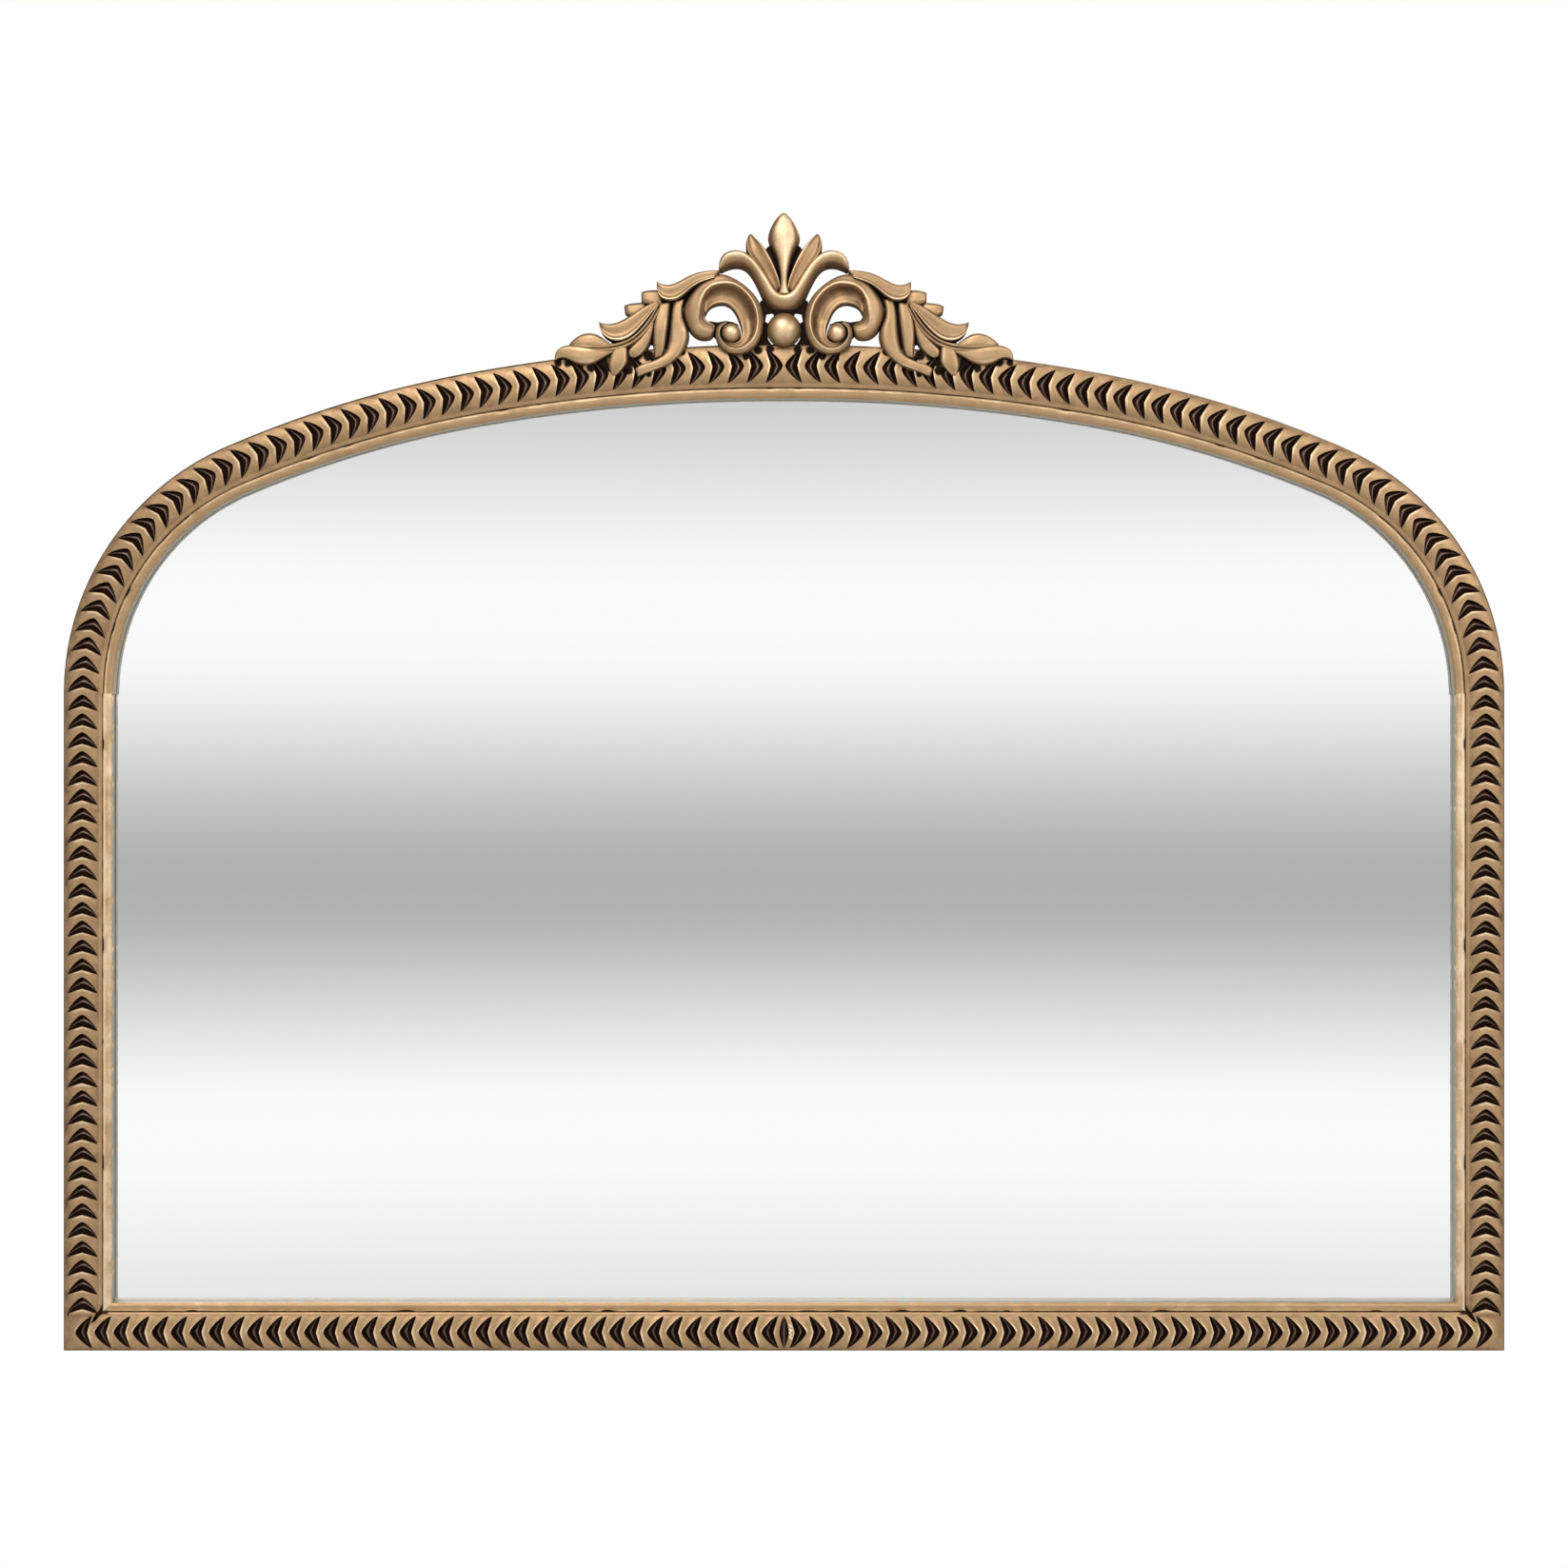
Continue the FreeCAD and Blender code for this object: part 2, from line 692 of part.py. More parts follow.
def strap_bores(names):
    bores = []
    for name in names:
        bores += [screw_bore(x, z, y, strap_screw_length) for x, z, y in strap_screw_places(*straps[name])]
    return bores


# Strap hanger on the right stile: plate below, folded over the straight bar of the ring at its top.
hanger_x = half_width - rail_width / 2
ring_radius = ring_wire / 2
ring_bar_y = back_y + hanger_thickness + ring_play + ring_radius
ring_half = (ring_width - ring_wire) / 2
ring_reach = ring_side + ring_half - ring_radius
ring_bar_z = -ring_reach
fold_inner = ring_radius + ring_play
fold_outer = fold_inner + hanger_thickness


def hanger_screw_points():
    first = ring_bar_z - hanger_first_screw
    return [(hanger_x, first), (hanger_x, first - hanger_screw_pitch)]


# Points of a fold about the ring's bar, from its top round the back to the lap, seen from the side.
def fold_points(radius):
    steps = facet_sides // 2
    turns = [math.pi * (1 - i / steps) for i in range(steps + 1)]
    return [(ring_bar_y + radius * math.cos(a), ring_bar_z + radius * math.sin(a)) for a in turns]


def hanger_strap():
    left = hanger_x - hanger_width / 2
    t = hanger_thickness
    low = ring_bar_z - hanger_length
    lap = ring_bar_z - hanger_lap
    outer, inner = fold_points(fold_outer), fold_points(fold_inner)
    profile = [(back_y + t, low), (back_y, low)] + outer
    profile += [(ring_bar_y + fold_outer, lap), (ring_bar_y + fold_inner, lap)] + inner[::-1]
    strap = polygon_face([vec(left, y, z) for y, z in profile]).extrude(vec(hanger_width, 0, 0))
    holes = [faceted_bore(screw_shank_radius + screw_fit, x, z, back_y - overrun, back_y + t + overrun)
             for x, z in hanger_screw_points()]
    return strap.cut(holes)


# D ring: a straight bar through the fold, two short sides and half a hoop, here hanging down.
def d_ring():
    low = ring_bar_z - ring_side
    steps = bead_sides
    path = [(hanger_x - ring_half, ring_bar_z), (hanger_x + ring_half, ring_bar_z)]
    for i in range(steps + 1):
        a = math.pi * i / steps
        path.append((hanger_x + ring_half * math.cos(a), low - ring_half * math.sin(a)))
    loops = [wire_section(path[i - 1], path[i], path[(i + 1) % len(path)]) for i in range(len(path))]
    faces = []
    for i, near in enumerate(loops):
        far = loops[(i + 1) % len(loops)]
        for k in range(facet_sides):
            m = (k + 1) % facet_sides
            faces.append(polygon_face([near[k], near[m], far[m]]))
            faces.append(polygon_face([near[k], far[m], far[k]]))
    return outward(Part.Solid(Part.Shell(faces)))


# The mitred section of a faceted wire at one corner of its closed path in the plane of the ring.
def wire_section(before, corner, after):
    def heading(a, b):
        length = math.hypot(b[0] - a[0], b[1] - a[1])
        return (b[0] - a[0]) / length, (b[1] - a[1]) / length

    (ax, az), (bx, bz) = heading(before, corner), heading(corner, after)
    side_x, side_z = az + bz, -(ax + bx)
    scale = 2 / (side_x ** 2 + side_z ** 2)
    points = []
    for k in range(facet_sides):
        a = 2 * math.pi * k / facet_sides
        out = ring_radius * math.cos(a) * scale
        y = ring_bar_y + ring_radius * math.sin(a)
        points.append(vec(corner[0] + side_x * out, y, corner[1] + side_z * out))
    return points


def bumper_points():
    top = arch_place(arch_length(rail_width / 2) * arch_bumper_share, rail_width / 2)
    upper = at(top, 0, rail_width / 2, 0)
    lower = at(stile_place(bumper_corner_place), 0, rail_width / 2, 0)
    return {"lower": lower, "upper": upper}


def wall_bumper(point):
    edge = bumper_radius * bumper_edge_share
    profile = [(bumper_radius, back_y), (bumper_radius, -edge), (bumper_radius - edge, 0)]
    return turned(profile, point.x, point.z, bead_sides)


def pane_pads():
    depth = back_y - pane_front_y
    pads = []
    for side in (-1, 1):
        middle = side * half_width * bottom_pad_share
        pads.append(Part.makeBox(pad_length, depth, pane_edge_gap,
                                 vec(middle - pad_length / 2, pane_front_y, bottom_z + rail_width)))
    return pads


def pearl():
    return seated(ball(0.0, pearl_height, pearl_radius, face_y - crest_relief))


# All nodes by name, each a list of solids.
def build():
    nodes = {}
    buttons = button_places()
    seam, spring, crown = [[slot] for slot in joint_slots()]
    lens = lens_pocket()
    bottom_run = bottom_chevrons()
    bottom_side = bottom_run + [button_bore(buttons["bottom"])]
    stile_tools = stile_chevrons() + bottom_run[-1:] + [button_bore(buttons["side"])] + spring
    stile_tools += [screw_bore(x, z, back_y + hanger_thickness, hanger_screw_length)
                    for x, z in hanger_screw_points()]
    arch_tools = arch_chevrons() + [button_bore(buttons["top"])] + spring + crown
    arch_tools += strap_bores(["centre", "inner", "outer"])

    # The seam of the bottom rail lies a little to the right, so the left half carries the lens.
    nodes["bottom_rail_right"] = bottom_rail(seam_offset, bottom_side + seam)
    left = bottom_rail(-seam_offset, bottom_side + [lens] + [mirrored(s) for s in seam])
    nodes["bottom_rail_left"] = mirrored(left)
    nodes["stile_right"] = stile(stile_tools)
    nodes["arch_right"] = arch_run(rail_section()).cut(arch_tools)
    nodes["liner_right"] = liner_stile()
    nodes["liner_arch_right"] = arch_run(liner_section())
    for name in ("stile", "arch", "liner", "liner_arch"):
        nodes[name + "_left"] = mirrored(nodes[name + "_right"])
    nodes["liner_bottom"] = liner_bottom()

    seam_tongue, spring_tongue, crown_tongue = [tongue(place, 0.0) for place in joint_places()]
    nodes["joint_tongues"] = [seam_tongue, spring_tongue, mirrored(spring_tongue), crown_tongue]
    key = mitre_key(0.0)
    nodes["mitre_keys"] = [key, mirrored(key)]
    nodes["mirror_pane"] = arch_sheet(pane_inset, pane_front_y, pane_thickness)
    nodes["backing_board"] = arch_sheet(pane_inset, pane_back_y, board_thickness)
    nodes["pane_pads"] = pane_pads()

    screws = []
    for name, place in buttons.items():
        button, pin = turn_button(place), button_screw(place)
        nodes["turn_button_" + name + "_right"] = button
        nodes["turn_button_" + name + "_left"] = mirrored(button)
        screws += [pin, mirrored(pin)]
    nodes["turn_button_screws"] = screws

    strap, ring = hanger_strap(), d_ring()
    nodes["hanger_strap_right"], nodes["hanger_strap_left"] = strap, mirrored(strap)
    nodes["d_ring_right"], nodes["d_ring_left"] = ring, mirrored(ring)
    pins = [screw(x, z, back_y + hanger_thickness, hanger_screw_length) for x, z in hanger_screw_points()]
    nodes["hanger_screws"] = pins + [mirrored(pin) for pin in pins]
    for name, point in bumper_points().items():
        bumper = wall_bumper(point)
        nodes["wall_bumper_" + name + "_right"] = bumper
        nodes["wall_bumper_" + name + "_left"] = mirrored(bumper)

    scroll = crest_scroll().cut(strap_bores(["inner", "outer"]))
    nodes["crest_scroll_right"], nodes["crest_scroll_left"] = scroll, mirrored(scroll)
    nodes["crest_palmette"] = crest_palmette().cut(strap_bores(["centre"]))
    nodes["crest_pearl"] = pearl().cut(strap_bores(["centre"]))
    crest_pins = strap_screws("centre")
    nodes["crest_strap_centre"] = crest_strap(*straps["centre"])
    for name in ("inner", "outer"):
        crest_piece = crest_strap(*straps[name])
        nodes["crest_strap_" + name + "_right"] = crest_piece
        nodes["crest_strap_" + name + "_left"] = mirrored(crest_piece)
        pins = strap_screws(name)
        crest_pins += pins + [mirrored(pin) for pin in pins]
    nodes["crest_screws"] = crest_pins
    return nodes


os.makedirs("parts", exist_ok=True)
for node, shape in build().items():
    solids = shape if isinstance(shape, list) else shape.Solids
    whole = solids[0] if len(solids) == 1 else Part.makeCompound(solids)
    whole.exportStep("parts/" + node + ".step")
    print(node, len(solids), "solids", round(sum(s.Volume for s in solids) / 1000, 2), "cm3")
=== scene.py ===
import json
import math
import random

import bpy
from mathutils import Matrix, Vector


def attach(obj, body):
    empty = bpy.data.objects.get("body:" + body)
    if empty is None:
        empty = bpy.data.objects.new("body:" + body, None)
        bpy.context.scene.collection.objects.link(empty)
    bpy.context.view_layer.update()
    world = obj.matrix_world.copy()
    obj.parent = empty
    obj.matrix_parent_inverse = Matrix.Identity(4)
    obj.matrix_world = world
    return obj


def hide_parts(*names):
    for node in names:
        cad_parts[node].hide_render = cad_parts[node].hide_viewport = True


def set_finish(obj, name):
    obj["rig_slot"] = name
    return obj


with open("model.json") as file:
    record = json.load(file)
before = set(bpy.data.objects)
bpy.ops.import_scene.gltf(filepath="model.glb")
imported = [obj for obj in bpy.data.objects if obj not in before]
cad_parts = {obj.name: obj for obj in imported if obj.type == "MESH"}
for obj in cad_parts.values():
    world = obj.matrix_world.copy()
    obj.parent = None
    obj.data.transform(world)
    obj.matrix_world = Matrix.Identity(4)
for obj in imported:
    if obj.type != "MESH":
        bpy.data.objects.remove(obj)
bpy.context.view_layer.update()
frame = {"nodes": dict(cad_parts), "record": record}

# Metres throughout. The front pieces are modelled lying face up on the bench, with the picture's height
# along Y and the depth of the frame along Z, and are stood up against the wall at the end.
mm = 0.001
same = 0.01 * mm  # points closer than this are one point
endZone = 30 * mm  # how far the open end of a run may reach back
hung = []  # the finished pieces
print("frame loaded")


def putDown():
    if bpy.context.mode != "OBJECT":
        bpy.ops.object.mode_set(mode="OBJECT")
    bpy.ops.object.select_all(action="DESELECT")


def takeUp(piece):
    putDown()
    piece.select_set(True)
    bpy.context.view_layer.objects.active = piece


def nameIt(name):
    piece = bpy.context.object
    piece.name = name
    piece.data.name = name
    return piece


# Opens edit mode with only the chosen points or edges selected.
def mark(piece, chosen, kind="VERT"):
    takeUp(piece)
    mesh = piece.data
    for parts in (mesh.vertices, mesh.edges, mesh.polygons):
        parts.foreach_set("select", [False] * len(parts))
    (mesh.vertices if kind == "VERT" else mesh.edges).foreach_set("select", chosen)
    bpy.context.tool_settings.mesh_select_mode = (kind == "VERT", kind == "EDGE", False)
    bpy.ops.object.mode_set(mode="EDIT")


def markPoints(piece, wanted):
    mark(piece, [bool(wanted(v.co)) for v in piece.data.vertices])


def markNumbers(piece, numbers):
    numbers = set(numbers)
    mark(piece, [v.index in numbers for v in piece.data.vertices])


def editAll(piece):
    takeUp(piece)
    bpy.ops.object.mode_set(mode="EDIT")
    bpy.ops.mesh.select_all(action="SELECT")


def editDone():
    bpy.ops.object.mode_set(mode="OBJECT")


# Leaves edit mode with every face pointing outwards.
def turnOut():
    bpy.ops.mesh.select_all(action="SELECT")
    bpy.ops.mesh.normals_make_consistent(inside=False)
    editDone()


def drawOut(*step):
    bpy.ops.mesh.extrude_region_move(TRANSFORM_OT_translate={"value": step})


# Presses what is selected flat onto a level of one axis, counted 0 to 2.
def flatten(axis, level):
    shares = [0 if i == axis else 1 for i in range(3)]
    bpy.ops.transform.resize(value=shares, center_override=[level * (1 - share) for share in shares])


def weld(piece, distance=same):
    editAll(piece)
    bpy.ops.mesh.remove_doubles(threshold=distance)
    turnOut()


# A cut through the whole piece: what lies on the side that the normal points to is thrown away.
def cutOff(piece, spot, normal, fill=True):
    editAll(piece)
    bpy.ops.mesh.bisect(plane_co=spot, plane_no=normal, use_fill=fill, clear_outer=True, threshold=1e-6)
    editDone()


def settle(piece):
    takeUp(piece)
    bpy.ops.object.transform_apply(location=True, rotation=True, scale=True)
    return piece


# Lays a piece down at a spot of the bench, turned by some degrees.
def setDown(piece, spot, turn=0):
    piece.location = spot
    piece.rotation_euler = (0, 0, math.radians(turn))
    return settle(piece)


def finishModifiers(piece):
    takeUp(piece)
    for modifier in list(piece.modifiers):
        bpy.ops.object.modifier_apply(modifier=modifier.name)


def cutWith(piece, cutter):
    cut = piece.modifiers.new("cut", "BOOLEAN")
    cut.operation = "DIFFERENCE"
    cut.solver = "EXACT"
    cut.object = cutter
    finishModifiers(piece)
    bpy.data.objects.remove(cutter)


# Sets copies side by side along X, welded where they meet.
def repeat(piece, pitch, count):
    array = piece.modifiers.new("copies", "ARRAY")
    array.count = count
    array.use_relative_offset = False
    array.use_constant_offset = True
    array.constant_offset_displace = (pitch, 0, 0)
    array.use_merge_vertices = True
    array.merge_threshold = 2 * same
    finishModifiers(piece)


def copyOf(piece, name):
    takeUp(piece)
    bpy.ops.object.duplicate(linked=False)
    return nameIt(name)


# The left-hand copy of a right-hand piece, with its faces turned the right way again.
def otherHand(piece, name):
    copy = copyOf(piece, name)
    copy.scale = (-1, 1, 1)
    settle(copy)
    editAll(copy)
    bpy.ops.mesh.flip_normals()
    editDone()
    return copy


def joinUp(pieces, name):
    putDown()
    for piece in pieces:
        piece.select_set(True)
    bpy.context.view_layer.objects.active = pieces[0]
    bpy.ops.object.join()
    return nameIt(name)


# Carries a piece's points, in their order, to the given spots.
def carry(piece, spots):
    for number, spot in enumerate(spots):
        step = spot - piece.data.vertices[number].co
        markNumbers(piece, [number])
        bpy.ops.transform.translate(value=step)
        editDone()


# A grid carried to the given spots, which run along its rows first.
def sheetOf(name, rowLength, spots):
    putDown()
    rowCount = len(spots) // rowLength
    bpy.ops.mesh.primitive_grid_add(x_subdivisions=rowLength - 1, y_subdivisions=rowCount - 1, size=1)
    sheet = nameIt(name)
    carry(sheet, spots)
    return sheet


# A flat face through the given spots, drawn out by each step in turn.
def blockOf(name, spots, *steps):
    putDown()
    bpy.ops.mesh.primitive_circle_add(vertices=len(spots), radius=0.1, fill_type="NGON")
    block = nameIt(name)
    carry(block, spots)
    editAll(block)
    for step in steps:
        drawOut(*step)
    turnOut()
    return block


def writeDown(piece, attribute, values):
    piece.data.attributes.new(attribute, "FLOAT", "POINT").data.foreach_set("value", values)


# Stands a piece up against the wall, shades it and says what it is.
def hangUp(piece, slot, angle, *nodes, body="frame"):
    settle(piece)
    piece.rotation_euler = (math.radians(90), 0, 0)
    settle(piece)
    if angle:
        bpy.ops.object.shade_smooth_by_angle(angle=math.radians(angle))
    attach(piece, body)
    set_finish(piece, slot)
    if nodes:
        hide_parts(*nodes)
    hung.append(piece)


# Hangs up a right-hand piece and its left-hand copy.
def hangPair(piece, slot, angle, node, moves=False):
    left = otherHand(piece, piece.name.replace("Right", "") + "Left")
    for one, side in ((piece, "_right"), (left, "_left")):
        hangUp(one, slot, angle, node + side, body=node + side if moves else "frame")


# The outline of the frame: half of an upright rectangle under half of an arch of three arcs.
outline = {
    "halfWidth": 507.5 * mm,
    "bottom": -443.0 * mm,
    "spring": 20.0 * mm,
    "shoulderRadius": 189.6 * mm,
    "shoulderTurn": 66.6,
    "haunchRadius": 790.3 * mm,
    "haunchTurn": 13.2,
    "longArc": 0.5,
    "fineness": 64,
}


def archArcs():
    o = outline
    first = math.radians(o["shoulderTurn"])
    second = math.radians(o["shoulderTurn"] + o["haunchTurn"])
    step = o["haunchRadius"] - o["shoulderRadius"]
    shoulderX = o["halfWidth"] - o["shoulderRadius"]
    haunchX = shoulderX - step * math.cos(first)
    haunchZ = o["spring"] - step * math.sin(first)
    crownRadius = o["haunchRadius"] + haunchX / math.cos(second)
    crownCentre = haunchZ - (crownRadius - o["haunchRadius"]) * math.sin(second)
    return [(shoulderX, o["spring"], o["shoulderRadius"], 0.0, first),
            (haunchX, haunchZ, o["haunchRadius"], first, second),
            (0.0, crownCentre, crownRadius, second, math.pi / 2)]


arcs = archArcs()
crownZ = arcs[-1][1] + arcs[-1][2]


def archLength(inset):
    return sum((radius - inset) * (end - start) for _, _, radius, start, end in arcs)


# The right half of the arch as a flat curve on the bench, from the springing to the crown. A long arc
# takes four pieces of curve, a short one two.
def archGuide(inset, fineness=outline["fineness"]):
    putDown()
    bpy.ops.curve.primitive_bezier_curve_add(enter_editmode=False, location=(0, 0, 0))
    guide = nameIt("archGuide")
    guide.data.dimensions = "2D"
    guide.data.resolution_u = fineness
    knots = []
    for x, z, radius, start, end in arcs:
        pieces = 4 if end - start > outline["longArc"] else 2
        sweep = (end - start) / pieces
        reach = (radius - inset) * 4 / 3 * math.tan(sweep / 4)
        for i in range(pieces + 1):
            a = start + sweep * i
            spot = Vector((x + (radius - inset) * math.cos(a), z + (radius - inset) * math.sin(a), 0))
            heading = Vector((-math.sin(a), math.cos(a), 0)) * reach
            if i == 0 and knots:
                knots[-1][2] = heading
            else:
                knots.append([spot, heading, heading])
    points = guide.data.splines[0].bezier_points
    points.add(len(knots) - len(points))
    for point, (spot, before, after) in zip(points, knots):
        point.handle_left_type = point.handle_right_type = "FREE"
        point.co = spot
        point.handle_left = spot - before
        point.handle_right = spot + after
    return guide


# The chevron moulding. Insets are measured from the frame's outer edge and heights from the wall. A
# pocket's floor and a first cell's rib are given row by row: share of the way over it, share of its depth
# or height, and how bright the gilding is painted, on a rib partly rubbed wear and partly painted
# highlight, on a pocket's floor a painted glint along its middle. Lumps of filler: along, up and radius.
moulding = {
    "width": 27.5 * mm,
    "back": 6.0 * mm,
    "band": (3.4 * mm, 24.6 * mm),
    "bottomBand": (2.3 * mm, 25.2 * mm),
    "face": 29.4 * mm,
    "pitch": 13.4 * mm,
    "pocketReach": 5.95 * mm,
    "pocketNotch": 3.3 * mm,
    "notchPower": 1.08,
    "pocketDepth": 4.4 * mm,
    "pocketFloor": ((0.05, 0.4, 0.0), (0.3, 0.95, 0.0), (0.52, 0.72, 1.0), (0.78, 0.9, 0.0),
                    (0.975, 0.3, 0.0)),
    "tipShare": 0.88,
    "tipPowers": (1.55, 20),
    "swellPower": 3,
    "sinkPower": 0.6,
    "ribHeight": 1.0 * mm,
    "ribFoot": 0.3,
    "ribBack": (0.55, 0.8),
    "ribFarEdge": (0.25, 0.7),
    "lipWidth": (0.9 * mm, 0.6 * mm),
    # The lip tone is a painted highlight on the bottom rail's lips, where light from above falls; lipBetween
    # is where it fades in.
    "lipTone": 0.85,
    "lipBetween": (-0.25, 0.15),
    "crown": (-0.5 * mm, 0.7 * mm),
    "outerRound": ((0.0, 4.2), (0.5, 2.2), (1.5, 0.8)),
    "innerRound": ((1.8, 0.55), (0.8, 0.8), (0.15, 1.15)),
    "tones": (0.24, 0.78, 1.35, 0.55),
    "tonePower": 1.7,
    "borderTones": (0.12, 0.5),
    "columns": (-1.0, -0.95, -0.8, -0.56, -0.31, -0.12, 0.0, 0.12, 0.31, 0.56, 0.8, 0.95, 1.0),
    "lensHalf": 3.3 * mm,
    "lensPower": 1.9,
    "lensFloor": ((0.0, 0.75, 0.9), (0.6, 0.85, 0.0), (0.94, 0.3, 0.0)),
    "lensRib": ((0.0, 0.5), (0.25, 0.7), (0.7, 0.8)),
    "firstApex": 15.85 * mm,
    "bottomCount": 37,
    "stileStart": 25.9 * mm,
    "stileGap": 1.1 * mm,
    "cornerTop": 25.0 * mm,
    "cornerFlat": 4.5 * mm,
    "stileCount": 33,
    "archCount": 44,
    "crownGain": 0.09,
    "gainFrom": 0.25,
    "slit": ((20.2, 20.0), (23.2, 21.9), (26.6, 25.6), (29.2, 28.6), (28.6, 30.4), (26.8, 30.2), (24.6, 27.8),
             (21.8, 24.0)),
    "slitAbove": 2.0 * mm,
    "slitRim": 0.8 * mm,
    "slitDepth": 3.6 * mm,
    "slitReach": 2.0 * mm,
    "slitDark": (1.0 * mm, 0.6 * mm),
    "lumps": ((3.6, 5.6, 0.7), (4.5, 4.2, 0.9), (3.8, 2.2, 0.7), (4.9, 1.1, 0.9), (4.1, -0.4, 0.8),
              (4.9, -1.9, 0.7), (4.2, -3.4, 0.8), (5.2, -4.4, 0.6)),
    "lumpShape": (1.0, 1.25, 0.8),
    "lumpJitter": 0.16,
    "lumpTone": 1.5,
    "lumpHeight": 1.2 * mm,
    "smoothAngle": 38,
}
bandMiddle = sum(moulding["band"]) / 2


# Points across the moulding from its outer back corner round the front to its inner back corner: inset,
# height, and place across the band from -1 to 1, or None on the borders.
def acrossPoints(band):
    m = moulding
    middle, half = (band[0] + band[1]) / 2, (band[1] - band[0]) / 2
    back, face, width = m["back"], m["face"], m["width"]
    edge, crown = m["crown"]
    points = [(0.0, back, None)]
    points += [(inset * mm, face - drop * mm, None) for inset, drop in m["outerRound"]]
    points += [(middle + c * half, face + crown + (edge - crown) * c * c, c) for c in m["columns"]]
    points += [(width - inset * mm, face - drop * mm, None) for inset, drop in m["innerRound"]]
    return points + [(width, back, None), (0.0, back, None)]


# How far a rib swells and a pocket sinks, and whether it is dark, at a distance a from the band's middle.
def relief(a):
    return 1 - a ** moulding["swellPower"], (1 - a ** 2) ** moulding["sinkPower"], 1.0 if a < 1 else 0.0


# How bright the gilding is painted on a rib's back, at its near edge and at its far edge: partly rubbed
# wear, partly painted highlight.
def ribTones(swell):
    border, *tones = moulding["tones"]
    return [border + (tone - border) * swell for tone in tones]


# Where each row of a chevron cell lies along the moulding, how high it stands, whether it is dark and how
# bright its gilding is painted, partly rubbed wear and partly painted highlight, at a place c across the
# band from -1 to 1. Rows go from the foot of one rib over a pocket, with a low ridge and a painted glint
# along its floor, to the foot of the next. The bottom rail's far edges have a wider, higher lip from the
# middle up, painted brighter there as a painted highlight where light from above falls.
def chevronRows(c, lipShare=0.0):
    m = moulding
    a = abs(c)
    swell, sink, dark = relief(a)
    reach, pitch, rib = m["pocketReach"], m["pitch"], m["ribHeight"] * swell
    (tip, tipEnd), share = m["tipPowers"], m["tipShare"]
    ahead = -reach + 2 * reach * (1 - share * a ** tip - (1 - share) * a ** tipEnd)
    behind = -reach + m["pocketNotch"] * (1 - a ** m["notchPower"])
    lipStart, lipFull = m["lipBetween"]
    lipShare *= min(1.0, max(0.0, (c - lipStart) / (lipFull - lipStart)))
    lipWidth, lipMore = m["lipWidth"]
    crest = ahead - pitch + (lipWidth + lipMore * lipShare) * swell
    middle, rubbed, lipped = ribTones(1 - a ** m["tonePower"])
    backShare, backHeight = m["ribBack"]
    edgeHeight, edgeMore = m["ribFarEdge"]
    return [
        (crest, rib * m["ribFoot"], 0.0, middle),
        (crest + (behind - crest) * backShare, rib * backHeight, 0.0, middle),
        (behind, rib, 0.0, rubbed),
        *[(behind + (ahead - behind) * way, -m["pocketDepth"] * deep * sink, dark, tone)
          for way, deep, tone in m["pocketFloor"]],
        (ahead, rib * (edgeHeight + edgeMore * lipShare), 0.0, lipped + m["lipTone"] * lipShare),
        (crest + pitch, rib * m["ribFoot"], 0.0, middle),
    ]


# The bottom rail's cells, whose lips carry the painted highlight.
def bottomRows(c):
    return chevronRows(c, 1.0)


# The first cell beside the middle of the bottom rail starts with half of the upright lens pocket.
def firstRows(c):
    m = moulding
    swell, sink, dark = relief(abs(c))
    rim = m["lensHalf"] * (1 - abs(c) ** m["lensPower"])
    centre = m["firstApex"] - m["pocketReach"]
    rest = [(centre + along, *others) for along, *others in bottomRows(c)[2:]]
    gap = rest[0][0] - rim
    middle, _, lipped = ribTones(swell)
    rows = [(rim * way, -m["pocketDepth"] * sink * deep, dark, tone) for way, deep, tone in m["lensFloor"]]
    rows += [(rim + gap * way, m["ribHeight"] * swell * height, 0.0, tone)
             for (way, height), tone in zip(m["lensRib"], (lipped, lipped, middle))]
    return rows + rest


# One cell as a grid of rows along and points across.
def shapeCell(name, rowsAt, band):
    outer, inner = moulding["borderTones"]
    spots, hollows, tones = [], [], []
    for u, height, c in acrossPoints(band):
        border = outer if u < bandMiddle else inner
        rows = rowsAt(c) if c is not None else [(row[0], 0.0, 0.0, border) for row in rowsAt(1.0)]
        for along, rise, deep, tone in rows:
            spots.append(Vector((along, u, height + rise)))
            hollows.append(deep)
            tones.append(tone)
    cell = sheetOf(name, len(rows), spots)
    writeDown(cell, "hollow", hollows)
    writeDown(cell, "tone", tones)
    weld(cell)
    return cell


def nearEnd(start):
    return lambda p: p.x < start + endZone


def farEnd(end):
    return lambda p: p.x > end - endZone


# The points of a piece's open edges that are wanted.
def openRim(piece, wanted):
    uses = {}
    for face in piece.data.polygons:
        for key in face.edge_keys:
            uses[key] = uses.get(key, 0) + 1
    points = piece.data.vertices
    return [i for key, count in uses.items() if count == 1 for i in key if wanted(points[i].co)]


# Cells side by side along X, the first pocket's middle half a pitch after the start.
def cellRun(name, cell, start, pitch, count):
    run = copyOf(cell, name)
    run.scale = (pitch / moulding["pitch"], 1, 1)
    setDown(run, (start + pitch / 2, 0, 0))
    repeat(run, pitch, count)
    return run


# Draws the open end of a run out to a plane across X; there nothing stands higher than the top, if given.
def drawEnd(run, wanted, x, top=None):
    markNumbers(run, openRim(run, wanted))
    bpy.ops.mesh.extrude_region_move()
    flatten(0, x)
    editDone()
    if top is None:
        return
    markPoints(run, lambda p: abs(p.x - x) < 0.1 * same and p.z > top)
    flatten(2, top)
    editDone()
    tone = run.data.attributes["tone"].data
    for point in run.data.vertices:
        if abs(point.co.x - x) < 0.1 * same:
            tone[point.index].value = moulding["tones"][0]


def closeEnd(run, wanted):
    markNumbers(run, openRim(run, wanted))
    bpy.ops.mesh.edge_face_add()
    editDone()


